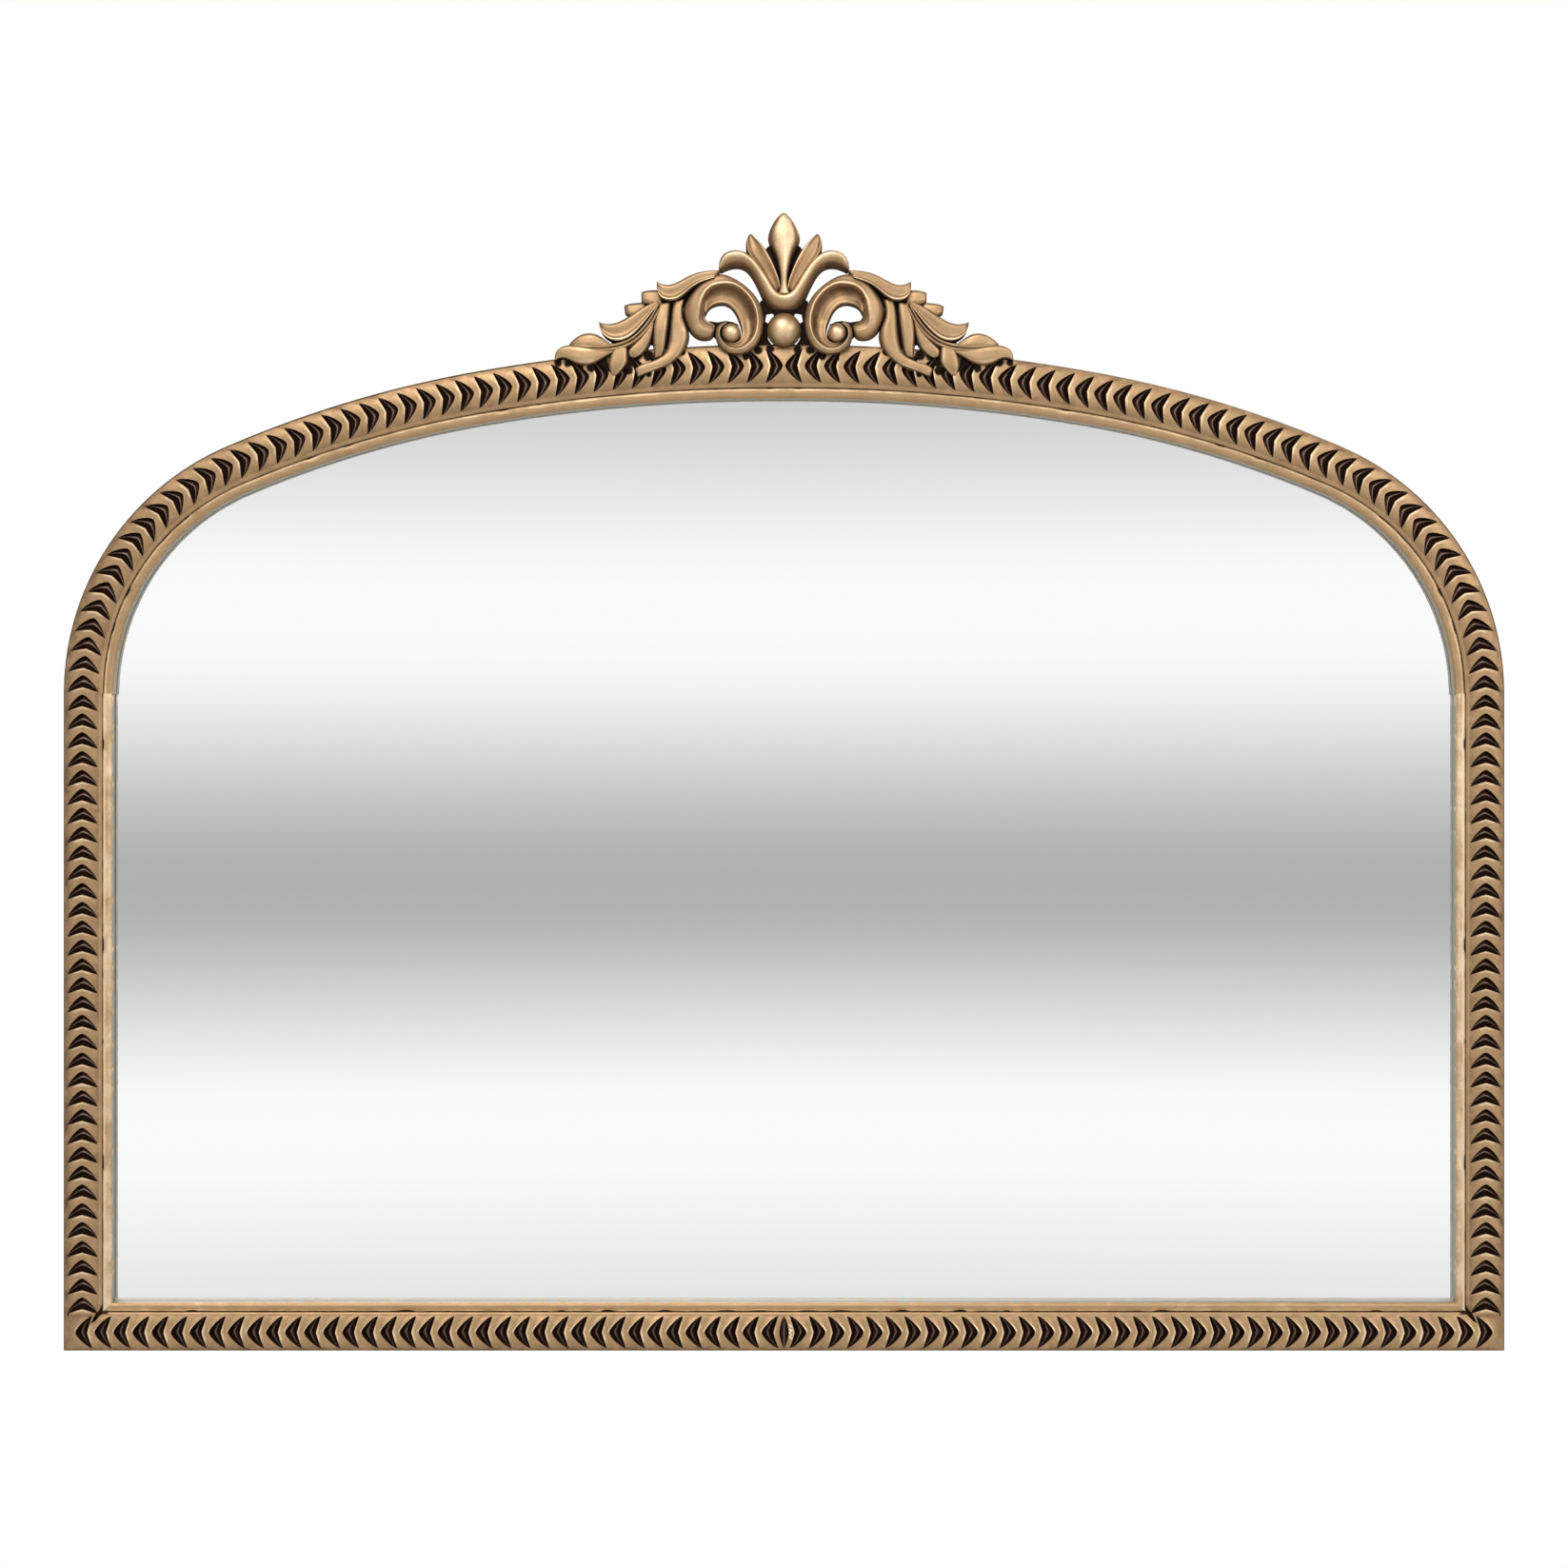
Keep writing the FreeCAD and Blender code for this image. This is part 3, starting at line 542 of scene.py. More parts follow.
# Bends a straight run round the arch at an inset. First it is widened inwards from its outer edge, the
# more the nearer it comes to the crown.
def bendRound(run, inset):
    widen = run.modifiers.new("widen", "SIMPLE_DEFORM")
    widen.deform_method = "TAPER"
    widen.deform_axis = "X"
    widen.lock_z = True
    widen.limits = (moulding["gainFrom"], 1.0)
    widen.factor = moulding["crownGain"]
    finishModifiers(run)
    setDown(run, (0, -inset, 0))
    guide = archGuide(inset)
    bend = run.modifiers.new("bend", "CURVE")
    bend.object = guide
    bend.deform_axis = "POS_X"
    finishModifiers(run)
    bpy.data.objects.remove(guide)


def bottomMoulding():
    o, m = outline, moulding
    first = shapeCell("firstCell", firstRows, m["bottomBand"])
    cell = shapeCell("bottomCell", bottomRows, m["bottomBand"])
    run = cellRun("bottomRun", cell, m["firstApex"] - m["pocketReach"] + m["pitch"] / 2, m["pitch"],
                  m["bottomCount"] - 1)
    bpy.data.objects.remove(cell)
    run = joinUp([first, run], "bottomRun")
    weld(run, 5 * same)
    edge = o["halfWidth"]
    drawEnd(run, farEnd(edge), edge - m["cornerFlat"], m["face"] + m["crown"][0])
    for inset, drop in reversed(m["outerRound"]):
        drawEnd(run, farEnd(edge), edge - inset * mm, m["face"] - drop * mm)
    closeEnd(run, farEnd(edge))
    return setDown(run, (0, o["bottom"], 0))


def stileMoulding(cell):
    o, m = outline, moulding
    top, start = o["spring"] - o["bottom"], m["stileStart"]
    pitch = (top - start) / m["stileCount"]
    run = cellRun("stileRun", cell, start, pitch, m["stileCount"] + 1)
    cutOff(run, (top, 0, 0), (1, 0, 0))
    cutOff(run, (start + m["stileGap"], 0, 0), (-1, 0, 0), fill=False)
    drawEnd(run, nearEnd(start), m["cornerTop"], m["face"] + m["crown"][0])
    closeEnd(run, nearEnd(start))
    return setDown(run, (o["halfWidth"], o["bottom"], 0), 90)


def archMoulding(cell):
    length = archLength(bandMiddle)
    pitch = length / moulding["archCount"]
    run = cellRun("mouldingArchRight", cell, -pitch, pitch, moulding["archCount"] + 1)
    drawEnd(run, farEnd(length), length)
    closeEnd(run, farEnd(length))
    bendRound(run, bandMiddle)
    cutOff(run, (0, outline["spring"], 0), (0, -1, 0))
    return run


# The dark open slit along the upper part of each mitre.
def cutSlit(piece):
    o, m = outline, moulding
    spots = [Vector((o["halfWidth"] - inset * mm, o["bottom"] + height * mm, m["face"] + m["slitAbove"]))
             for inset, height in m["slit"]]
    cutter = blockOf("slitCutter", spots, (0, 0, -m["slitAbove"] - m["slitRim"]), (0, 0, -m["slitDepth"]))
    walls = [v.co.to_2d() for v in cutter.data.vertices if v.co.z < m["face"]]
    cutWith(piece, cutter)
    below, above = m["slitDark"]
    low, high = m["face"] - m["slitDepth"] - below, m["face"] - above
    hollow = piece.data.attributes["hollow"].data
    for point in piece.data.vertices:
        near = any((point.co.xy - wall).length < m["slitReach"] for wall in walls)
        if near and low < point.co.z < high:
            hollow[point.index].value = 1.0


# Lumps of filler left on the rib beside the lens, where the two halves of the bottom rail meet.
def fillerLumps():
    m = moulding
    middle = outline["bottom"] + sum(m["bottomBand"]) / 2
    lumps = []
    for number, (x, up, radius) in enumerate(m["lumps"]):
        putDown()
        bpy.ops.mesh.primitive_ico_sphere_add(subdivisions=3, radius=radius * mm)
        lump = nameIt("fillerLump")
        editAll(lump)
        bpy.ops.transform.vertex_random(offset=m["lumpJitter"] * radius * mm, seed=number)
        editDone()
        writeDown(lump, "tone", [m["lumpTone"]] * len(lump.data.vertices))
        lump.scale = m["lumpShape"]
        lumps.append(setDown(lump, (x * mm, middle + up * mm, m["face"] + m["lumpHeight"])))
    return lumps


# Both halves of the bottom rail meet in the lens; the corner beyond each mitre belongs to the stile.
def buildMoulding():
    o, m = outline, moulding
    cell = shapeCell("chevronCell", chevronRows, m["band"])
    bottom, stileRun, arch = bottomMoulding(), stileMoulding(cell), archMoulding(cell)
    bpy.data.objects.remove(cell)
    corner = (o["halfWidth"], o["bottom"], 0)
    triangle = copyOf(bottom, "mitreCorner")
    cutOff(triangle, corner, (-1, -1, 0))
    cutOff(triangle, (0, o["bottom"] + m["cornerTop"], 0), (0, 1, 0))
    cutOff(stileRun, corner, (-1, -1, 0))
    cutOff(bottom, corner, (1, 1, 0))
    for piece in (triangle, stileRun, bottom):
        cutSlit(piece)
    stile = joinUp([stileRun, triangle], "mouldingStileRight")
    bottom = joinUp([bottom, otherHand(bottom, "bottomLeft")], "mouldingBottom")
    weld(bottom, 2 * same)
    bottom = joinUp([bottom, *fillerLumps()], "mouldingBottom")
    hangUp(bottom, "gilt_moulding", m["smoothAngle"], "bottom_rail_left", "bottom_rail_right")
    hangPair(stile, "gilt_moulding", m["smoothAngle"], "stile")
    hangPair(arch, "gilt_moulding", m["smoothAngle"], "arch")


buildMoulding()
print("moulding carved")


# The liner. Its section starts with a grooved or a flush outer edge: inset and height in millimetres.
liner = {
    "grooved": ((27.55, 16.0), (27.6, 25.2), (27.85, 25.8), (28.6, 26.15)),
    "flush": ((27.55, 16.0), (27.55, 26.0), (27.9, 26.2), (28.8, 26.3)),
    "section": ((29.9, 26.35), (31.3, 26.3), (32.8, 26.05), (33.55, 25.5), (33.85, 24.7), (33.95, 23.4),
                (34.25, 16.0)),
    "middle": 31.5 * mm,
    "sight": 33.9 * mm,
    "segment": 3.4 * mm,
    "jitter": 0.14 * mm,
    "jitterAbove": 20.0 * mm,
    "lip": 29.0 * mm,
    "lipTone": 0.4,
    "chips": 18,
    "chipHalf": (1.5, 5),
    "chipDepth": 0.55 * mm,
    "chipShares": (0.3, 1.5),
    "chipAbove": 21.0 * mm,
    "chipFromEnd": 0.01,
    # How much lighter or darker the liner is painted on the bottom, the sides and the arch: painted light, as
    # it falls on each.
    "rubbed": {"bottom": -0.2, "side": 0.08, "arch": -0.3},
    "smoothAngle": 50,
}


# A straight run of liner, jittered a little and chipped along its outer lip.
def linerRun(name, length, seed, side, edge="flush"):
    n = liner
    section = [(u * mm, z * mm) for u, z in n[edge] + n["section"]]
    count = round(length / n["segment"])
    pitch = length / count
    run = sheetOf(name, 2, [Vector((x, u, z)) for u, z in section + section[:1] for x in (0.0, pitch)])
    weld(run)
    repeat(run, pitch, count)
    markPoints(run, lambda p: 1 * mm < p.x < length - 1 * mm and p.z > n["jitterAbove"])
    bpy.ops.transform.vertex_random(offset=n["jitter"], seed=seed)
    editDone()
    points = run.data.vertices
    # The wall past the sight edge is marked, to be painted grey olive as shade.
    writeDown(run, "sight", [1.0 if p.co.y > n["sight"] else 0.0 for p in points])
    # Each side is painted lighter or darker as light falls on it; its outer lip is rubbed brighter.
    tones = n["rubbed"][side], n["rubbed"][side] + n["lipTone"]
    writeDown(run, "tone", [tones[p.co.y < n["lip"]] for p in points])
    draw = random.Random(seed)
    for _ in range(round(n["chips"] * length)):
        spot = draw.uniform(n["chipFromEnd"], length - n["chipFromEnd"])
        half = draw.uniform(*n["chipHalf"]) * mm
        depth = n["chipDepth"] * draw.uniform(*n["chipShares"])
        markPoints(run, lambda p: abs(p.x - spot) < half and p.y < n["lip"] and p.z > n["chipAbove"])
        bpy.ops.transform.translate(value=(0, depth, -depth * 0.5))
        editDone()
    return run


def buildLiner():
    o, angle = outline, liner["smoothAngle"]
    corner = (o["halfWidth"], o["bottom"], 0)
    bottom = linerRun("linerBottomRight", o["halfWidth"], 3, "bottom", "grooved")
    closeEnd(bottom, farEnd(o["halfWidth"]))
    setDown(bottom, (0, o["bottom"], 0))
    cutOff(bottom, corner, (1, 1, 0))
    bottom = joinUp([bottom, otherHand(bottom, "linerBottomLeft")], "linerBottom")
    weld(bottom, 2 * same)
    upright = o["spring"] - o["bottom"]
    stile = linerRun("linerRight", upright, 5, "side")
    closeEnd(stile, farEnd(upright))
    setDown(stile, corner, 90)
    cutOff(stile, corner, (-1, -1, 0))
    length = archLength(liner["middle"])
    arch = linerRun("linerArchRight", length, 8, "arch")
    closeEnd(arch, nearEnd(0))
    closeEnd(arch, farEnd(length))
    bendRound(arch, liner["middle"])
    hangUp(bottom, "gilt_liner", angle, "liner_bottom")
    hangPair(stile, "gilt_liner", angle, "liner")
    hangPair(arch, "gilt_liner", angle, "liner_arch")


buildLiner()
print("liner laid")


# The crest. Each table runs along one carved blade of the right-hand half, in millimetres from the
# crest's axis and above the crown of the arch: one edge, the other edge, then how far the low edge and the
# top stand from the wall. The scroll has a third point between its edges, its rim.
scroll = (
    (49.9, 5.2, 49.0, 9.2, 48.2, 12.9, 24, 32.5), (51.3, 3.2, 50.2, 8.8, 49.0, 14.4, 24, 34.2),
    (56, 2.1, 53.6, 8.5, 51.4, 15.6, 24, 34.8),
    (62.1, 3.4, 58.5, 10.3, 54.4, 17.5, 24, 35), (67, 8.2, 60.6, 15.5, 55.2, 19.1, 24, 35.5),
    (70.4, 15.4, 59.3, 21.9, 55.3, 20.1, 24, 36), (71.6, 21.8, 58.7, 27.1, 54.9, 20.9, 24, 36.5),
    (69.8, 29, 57.9, 29.9, 54.5, 21.2, 24, 37), (65.1, 36.3, 56.4, 34.2, 53.8, 23.1, 24, 37.5),
    (60, 42.7, 53.5, 38, 51.5, 25.4, 24, 38), (54.3, 46.2, 49.5, 40.8, 48.3, 26.8, 24, 38.5),
    (48.3, 49.7, 43.6, 41.8, 44.5, 27.5, 24, 39), (38, 48.1, 36.5, 42, 40.9, 27.2, 24, 39),
    (28.6, 42.2, 29.4, 38.4, 37.2, 25, 24, 39), (20.7, 35.1, 23.4, 32.1, 34.4, 21.3, 24, 39),
    (16, 27.2, 19.9, 25.6, 32.7, 17.4, 24, 38.8), (14.2, 19.4, 18.1, 18.6, 31.3, 13.8, 24, 38.6),
    (14.4, 11.5, 18.1, 11.5, 30.2, 10.6, 27, 38.4), (16, 3.6, 19.9, 4.4, 29.8, 6.8, 29.5, 38.2),
    (19.9, -3, 23.9, -0.7, 30.6, 3.3, 30.6, 38), (25.4, -6.9, 28.2, -3.8, 32.5, 0.9, 30.6, 37.8),
    (31.7, -8.7, 32.9, -5.1, 35.3, -0.1, 30.6, 37.6), (38.1, -7.6, 38.1, -4, 38.1, 0.4, 30.6, 37.4),
    (44.2, -4.1, 42.4, -0.9, 40.8, 2.2, 29.5, 37.2), (48.0, 1.6, 45.4, 3.7, 42.1, 5, 28, 37),
    (48.7, 7.9, 45.6, 7.9, 42.2, 7.8, 27, 36.8), (46.8, 12.9, 44.4, 11.4, 41.3, 10.2, 27, 36),
    (41.9, 15.4, 40.7, 13.5, 39.3, 11.5, 27, 33.5),
)
topLeaf = (
    (89, 43, 89.4, 40, 25, 31.5), (86.5, 41.6, 88.5, 35.3, 25, 33.5), (82.4, 40.8, 85.7, 31.4, 25, 34.5),
    (78.3, 41.3, 80.8, 30, 25, 35.2), (73.4, 43.8, 75.5, 30.4, 25, 36), (67.8, 46.8, 70.2, 34, 25, 36.6),
    (62.1, 49.2, 64.1, 39.8, 27, 37.2), (53.9, 50.2, 57.2, 43.2, 32, 37.8), (45.8, 50.2, 48.6, 45.6, 34, 38),
)
innerBlade = (
    (77.2, 29.6, 70.3, 30.9, 24, 32), (78.4, 24, 72.1, 24, 24, 33), (79.2, 16.5, 71.7, 17.3, 24, 34),
    (80, 9.1, 68.5, 11.6, 24, 34.6), (80.8, 2.6, 66.8, 5, 24, 35), (82, -3.5, 69, -2.3, 25, 35.2),
    (83.6, -8, 73.5, -9.2, 28, 35.2), (89.7, -12, 80.4, -14.9, 30.6, 35),
    (96.2, -14.3, 89.7, -18.5, 30.6, 34.6), (101.1, -15.6, 97, -20.7, 30.6, 34.2),
    (104, -18.3, 102.4, -22.8, 30.6, 33.2),
)
outerBlade = (
    (88, 27.4, 80.3, 28.9, 24, 31.5), (91.2, 19.9, 80.9, 20.7, 24, 33),
    (92.2, 11.7, 81.7, 12.5, 24, 33.8), (92, 3.6, 83, 4.4, 24, 33.8), (91.3, -3.9, 84, -3, 25, 33.4),
    (90.6, -10.4, 86, -9.2, 27, 31.8),
)
longLeaf = (
    (129.8, 14.8, 129.6, 12.2, 24, 30), (127.2, 13.8, 128, 7.4, 24, 32.5),
    (122.2, 13.3, 123.8, 3.1, 24, 34), (115.7, 15.1, 117.3, 1.1, 24, 35),
    (109.2, 19.1, 110, 2.5, 24, 35.4), (103.5, 23.2, 103.5, 8.2, 24, 35.2),
    (98.6, 26, 97.8, 14.8, 24, 34.8), (93.4, 27.8, 93, 21.8, 24, 34.2), (88.6, 29.5, 88.2, 27.2, 24, 33),
)
lowerTip = (
    (112.0, 27.2, 111.5, 21.6, 21, 28), (109.4, 28.4, 108.5, 19, 21, 30),
    (104.5, 29, 103.2, 18.2, 21, 30), (99, 29.5, 96, 18, 21, 29),
)
upperTip = (
    (99.8, 36.8, 99.8, 29.3, 21, 29), (95, 38.2, 94, 26, 21, 31), (87, 38, 86, 25, 21, 30),
)
stem = (
    (149.1, -1.2, 149.5, -2.8, 28, 33), (140.9, -2.2, 140.9, -4.3, 28, 34),
    (131.9, -2.4, 131.9, -5.7, 28, 34.6), (123.8, -1.5, 122.2, -5.7, 27, 34.8),
    (117.3, 0.3, 114.5, -4.9, 26, 34.8), (110.8, 1.8, 107.2, -1.4, 25, 34.6),
    (104.3, 6.3, 101.5, 2.7, 25, 34.4), (98.7, 12.4, 95.6, 8.4, 25, 34),
    (93.4, 19.4, 91, 15.3, 25, 33.6), (89.4, 26.4, 87.4, 23.6, 25, 33),
)
endLeafUpper = (
    (150.5, -0.5, 149.9, -2.1, 27, 30.5), (147.9, 2.5, 146.7, -2.8, 27, 32.5),
    (143.3, 5.8, 141.7, -3.6, 27, 33.8), (137.6, 7.3, 136, -3.8, 27, 34.4),
    (131.9, 6.5, 131.1, -3.8, 27, 34.4), (127.1, 3.2, 126.3, -3.3, 27, 33.6),
    (122.3, -0.3, 121.5, -2.7, 27, 32),
)
endLeafLower = (
    (160.9, -8.7, 160.9, -11.4, 30.4, 31.6), (159.7, -5.6, 157.6, -9.4, 30.4, 32.6),
    (155.5, -2.5, 152.3, -10.1, 30.4, 33.6), (150.2, -1.4, 147.4, -13.7, 30.4, 34.2),
    (143.3, -2.2, 140.9, -15.2, 30.4, 34.4), (136, -3, 135.2, -14.6, 30.4, 34.2),
    (129.5, -3.4, 129.5, -11.5, 30.4, 33.8), (123.9, -3.7, 123.5, -7.3, 30.4, 33.2),
    (119.1, -4, 118.6, -5.6, 30.4, 32.4),
)
leafDrop = (
    (119.4, -3.6, 110.8, -3, 30.2, 33.8), (121.8, -9.3, 110.6, -9, 30.4, 34.2),
    (123.2, -14.1, 109.9, -13.6, 30.5, 34.4), (122.6, -18.5, 113.8, -18, 30.5, 33.8),
    (119.9, -22.6, 118.2, -22.3, 30.5, 32),
)
leafCurl = (
    (94.7, 14.3, 91.4, 15.9, 24, 32.5), (98.7, 7.7, 92.6, 7.7, 24, 33), (103.6, 2, 94.2, 0.4, 25, 33.2),
    (108.1, -2.4, 97.7, -5.3, 27, 33), (109.9, -5.4, 101.2, -8.2, 29, 32.6),
    (108.1, -9, 105.1, -9.8, 30, 31.6),
)
centrePetal = (
    (1.4, 91, -1.4, 91, 25, 33.8), (4.4, 88.7, -4.4, 88.7, 25, 35.6), (6.9, 85.4, -6.9, 85.4, 25, 36.6),
    (9.0, 81.4, -9.0, 81.4, 25, 37.2), (10.5, 77.0, -10.5, 77.0, 25, 37.5),
    (10.7, 72.6, -10.7, 72.6, 25, 37.5),
    (9.0, 68.8, -9.0, 68.8, 25, 37.3), (6.8, 65.0, -6.8, 65.0, 25, 37.1), (5.1, 61.0, -5.1, 61.0, 25, 36.9),
    (3.9, 56.6, -3.9, 56.6, 25, 36.8), (3.0, 52.4, -3.0, 52.4, 25, 36.7), (2.1, 46.8, -2.1, 46.8, 25, 36.6),
    (1.9, 42.0, -1.9, 42.0, 25, 36.6), (2.8, 38.0, -2.8, 38.0, 25, 36.8), (4.4, 34.4, -4.4, 34.4, 25, 36.8),
)
sidePetal = (
    (24.3, 76.5, 23.5, 76.8, 25, 30), (25.8, 73.2, 19.9, 73.7, 25, 32.4), (26.4, 68.2, 15.6, 69.7, 25, 33.8),
    (25.7, 63.1, 12.2, 64.7, 25, 34.6), (22.1, 58.3, 9.4, 59.6, 25, 35),
    (17.7, 52.7, 7.0, 54, 25, 35.3), (13.5, 46.6, 5.0, 48.4, 25, 35.6), (9.5, 41, 3.4, 43.4, 25, 36),
    (5.6, 35.2, 2.8, 38.3, 25, 36.4),
)
curledPetal = (
    (45.6, 53.2, 44.4, 51.0, 23, 33), (45.2, 58.6, 40.6, 52.8, 23, 35), (42.4, 63.6, 36.5, 54.0, 23, 36),
    (35.9, 65.9, 32.3, 54.2, 23, 36.6), (29.4, 65.4, 28.3, 53.2, 23, 36.8),
    (24.5, 62.6, 25.1, 50.6, 23, 36.8), (19.8, 58.2, 22.1, 46.5, 23, 36.8),
    (15.5, 52.6, 19.5, 41.8, 23, 36.9), (11.5, 46.3, 17.0, 36.8, 23, 37.1),
    (8.2, 40.6, 14.4, 30.6, 23, 37.3), (5.6, 37.2, 11.0, 25.4, 23, 37.4), (2.8, 35.4, 5.8, 22.2, 23, 37.3),
    (0, 34.9, 0, 21.2, 23, 37.2),
)
crest = {
    "back": 20.0 * mm,
    "eye": (37.2, 7.0),
    "eyeRadius": 6.8 * mm,
    "eyeFront": 38.8 * mm,
    "pearl": 9.5,
    "pearlRadius": 12.2 * mm,
    "pearlFront": 39.8 * mm,
    "smooth": 2,
    "endShare": 0.16,
    "spread": 0.8 * mm,
    "endReach": 0.9 * mm,
    "webBack": 20.3,
    "beadTone": 0.95,
    "dishFrom": 4.5,
    "dishOver": 3.5,
    "clubTone": 0.72,
    "smoothAngle": 60,
}
# Each profile is the share of the way from the first edge to the second, the height there as a share of
# the blade's, and how bright the gilding is painted: partly rubbed wear, partly painted highlight and
# shade.
plainProfile = ((0.0, 0.0, 0.0), (0.06, 0.62, 0.35), (0.2, 0.9, 0.85), (0.42, 0.93, 0.5), (0.66, 1.0, 0.6),
                (0.86, 0.92, 0.95), (0.95, 0.62, 0.4), (1.0, 0.0, 0.0))
ridgeProfile = ((0.0, 0.0, 0.0), (0.06, 0.62, 0.45), (0.16, 0.85, 0.9), (0.32, 0.94, 1.0), (0.47, 0.97, 1.05),
                (0.5, 1.0, 1.35), (0.53, 0.97, 1.05), (0.68, 0.94, 1.0), (0.84, 0.85, 0.9),
                (0.94, 0.62, 0.45), (1.0, 0.0, 0.0))
lipProfile = ((0.0, 0.0, 0.0), (0.05, 0.6, 0.25), (0.16, 0.81, 0.6), (0.4, 0.8, 0.6), (0.66, 0.76, 0.4),
              (0.78, 0.84, 0.6), (0.87, 1.0, 1.25), (0.94, 1.0, 1.3), (0.98, 0.7, 0.5), (1.0, 0.0, 0.0))
stemProfile = ((0.0, 0.1, 0.0), (0.12, 0.78, 0.5), (0.28, 1.0, 0.95), (0.42, 0.88, 0.35), (0.5, 0.74, 0.0),
               (0.58, 0.88, 0.35), (0.72, 1.0, 0.95), (0.88, 0.78, 0.5), (1.0, 0.1, 0.0))
dishProfile = ((0.0, 0.1, 0.0), (0.07, 0.78, 0.7), (0.14, 0.84, 0.7), (0.24, 0.64, 0.0), (0.46, 0.62, 0.45),
               (0.7, 0.7, 0.75), (0.83, 0.93, 1.05), (0.9, 1.0, 1.1), (0.97, 0.7, 0.5), (1.0, 0.0, 0.0))
curlProfile = ((0.0, 0.1, 0.0), (0.08, 0.74, 0.45), (0.2, 0.99, 1.05), (0.34, 1.0, 1.0), (0.56, 0.93, 0.65),
               (0.82, 0.72, 0.4), (1.0, 0.0, 0.0))
# Across the scroll: share from the outer edge to the rim, then from the rim to the inner edge, with the
# height where the scroll is dished, the height where it is round, and how bright it is painted where it
# is dished, partly rubbed wear and partly painted highlight and shade.
outerSlope = ((0.0, 0.34, 0.1, 0.0), (0.1, 0.62, 0.55, 0.2), (0.34, 0.8, 0.86, 0.4), (0.7, 0.86, 0.98, 0.4),
              (0.9, 0.96, 1.0, 1.0))
innerSlope = ((0.03, 1.0, 1.0, 1.15), (0.09, 0.86, 0.97, 0.5), (0.19, 0.56, 0.93, 0.0),
              (0.36, 0.36, 0.87, 0.0), (0.62, 0.3, 0.74, 0.35), (0.86, 0.44, 0.46, 0.7),
              (0.95, 0.42, 0.25, 0.35), (1.0, 0.1, 0.0, 0.0))
# The dark grounds between the blades, sheets painted dark as the shade between them: how far each stands
# out, then its outline.
shadeWebs = {
    "crestWeb": (26.0, (
        (88.4, 31.5), (79.2, 29.8), (70.6, 34.7), (60.0, 44.6), (58.4, 40.7), (67.8, 30.6), (71.0, 25.4),
        (71.6, 17.3), (77.1, 10.8), (79.5, 1.1), (81.1, -6.2), (88.0, -8.6), (90.6, -1.0), (96.4, 0.6),
        (97.6, 7.4), (92.4, 15.4), (86.0, 25.4))),
    "sideWeb": (27.0, (
        (6.2, 27.4), (14.0, 31.4), (17.0, 30.0), (17.0, 12.0), (19.0, -1.2), (8.0, -1.2), (11.0, 3.0),
        (12.0, 9.0), (11.2, 14.6), (13.4, 15.8), (12.4, 21.4), (8.4, 22.2), (6.2, 20.6))),
    "eyeWeb": (27.0, (
        (52.6, 16.2), (46.8, 15.2), (41.2, 16.3), (36.4, 15.6), (32.4, 13.8), (30.8, 8.0), (33.6, 1.6),
        (40.0, -0.6), (46.0, 1.8), (50.0, 6.0), (52.6, 10.0))),
    "palmetteWeb": (26.5, (
        (0.0, 81.0), (7.5, 71.0), (11.6, 68.4), (17.6, 59.0), (17.0, 48.0), (11.8, 34.0), (0.0, 29.0),
        (-11.8, 34.0), (-17.0, 48.0), (-17.6, 59.0), (-11.6, 68.4), (-7.5, 71.0))),
    "neckWeb": (30.0, ((5.6, 25.4), (7.4, 19.4), (-7.4, 19.4), (-5.6, 25.4))),
}


def crestSpot(x, height, depth):
    return Vector((x * mm, crownZ + height * mm, depth * mm))


# Rows of points, each with how bright it is painted.
def bladeRows(stations, profile):
    rows = []
    for x1, h1, x2, h2, low, high in stations:
        first, last = crestSpot(x1, h1, low), crestSpot(x2, h2, low)
        spread = (last - first).normalized() * crest["spread"]
        first, last = first - spread, last + spread
        lift = Vector((0, 0, (high - low) * mm))
        rows.append([(first.lerp(last, share) + lift * height, tone) for share, height, tone in profile])
    return rows


# The scroll's club is round and painted brighter the higher it stands, a painted highlight; from there on
# the band is dished.
def scrollRows():
    rows = []
    for number, (x1, h1, x2, h2, x3, h3, low, high) in enumerate(scroll):
        outer, rim, inner = (crestSpot(x, h, low) for x, h in ((x1, h1), (x2, h2), (x3, h3)))
        lift = Vector((0, 0, (high - low) * mm))
        dish = min(1.0, max(0.0, (number - crest["dishFrom"]) / crest["dishOver"]))
        rows.append([(start.lerp(end, share) + lift * (full * (1 - dish) + deep * dish),
                      full * crest["clubTone"] * (1 - dish) + tone * dish)
                     for start, end, slope in ((outer, rim, outerSlope), (rim, inner, innerSlope))
                     for share, deep, full, tone in slope])
    return rows


def rowBetween(first, second, share):
    return [(a.lerp(b, share), s + (t - s) * share) for (a, s), (b, t) in zip(first, second)]


def rowBeyond(first, second):
    return [(a + (a - b).normalized() * crest["endReach"], s * 0.5) for (a, s), (b, _) in zip(first, second)]


# A carved blade: a sheet with a row added close to each end, so that smoothing keeps the ends full, and
# with a flat back.
def blade(name, rows):
    second = rowBetween(rows[0], rows[1], crest["endShare"])
    nextLast = rowBetween(rows[-1], rows[-2], crest["endShare"])
    rows = [rowBeyond(rows[0], second), second, *rows[1:-1], nextLast, rowBeyond(rows[-1], nextLast)]
    points = [row[j] for j in range(len(rows[0])) for row in rows]
    piece = sheetOf(name, len(rows), [spot for spot, _ in points])
    writeDown(piece, "tone", [tone for _, tone in points])
    editAll(piece)
    bpy.ops.mesh.extrude_region_move()
    flatten(2, crest["back"])
    turnOut()
    smooth = piece.modifiers.new("smooth", "SUBSURF")
    smooth.levels = smooth.render_levels = crest["smooth"]
    finishModifiers(piece)
    return piece


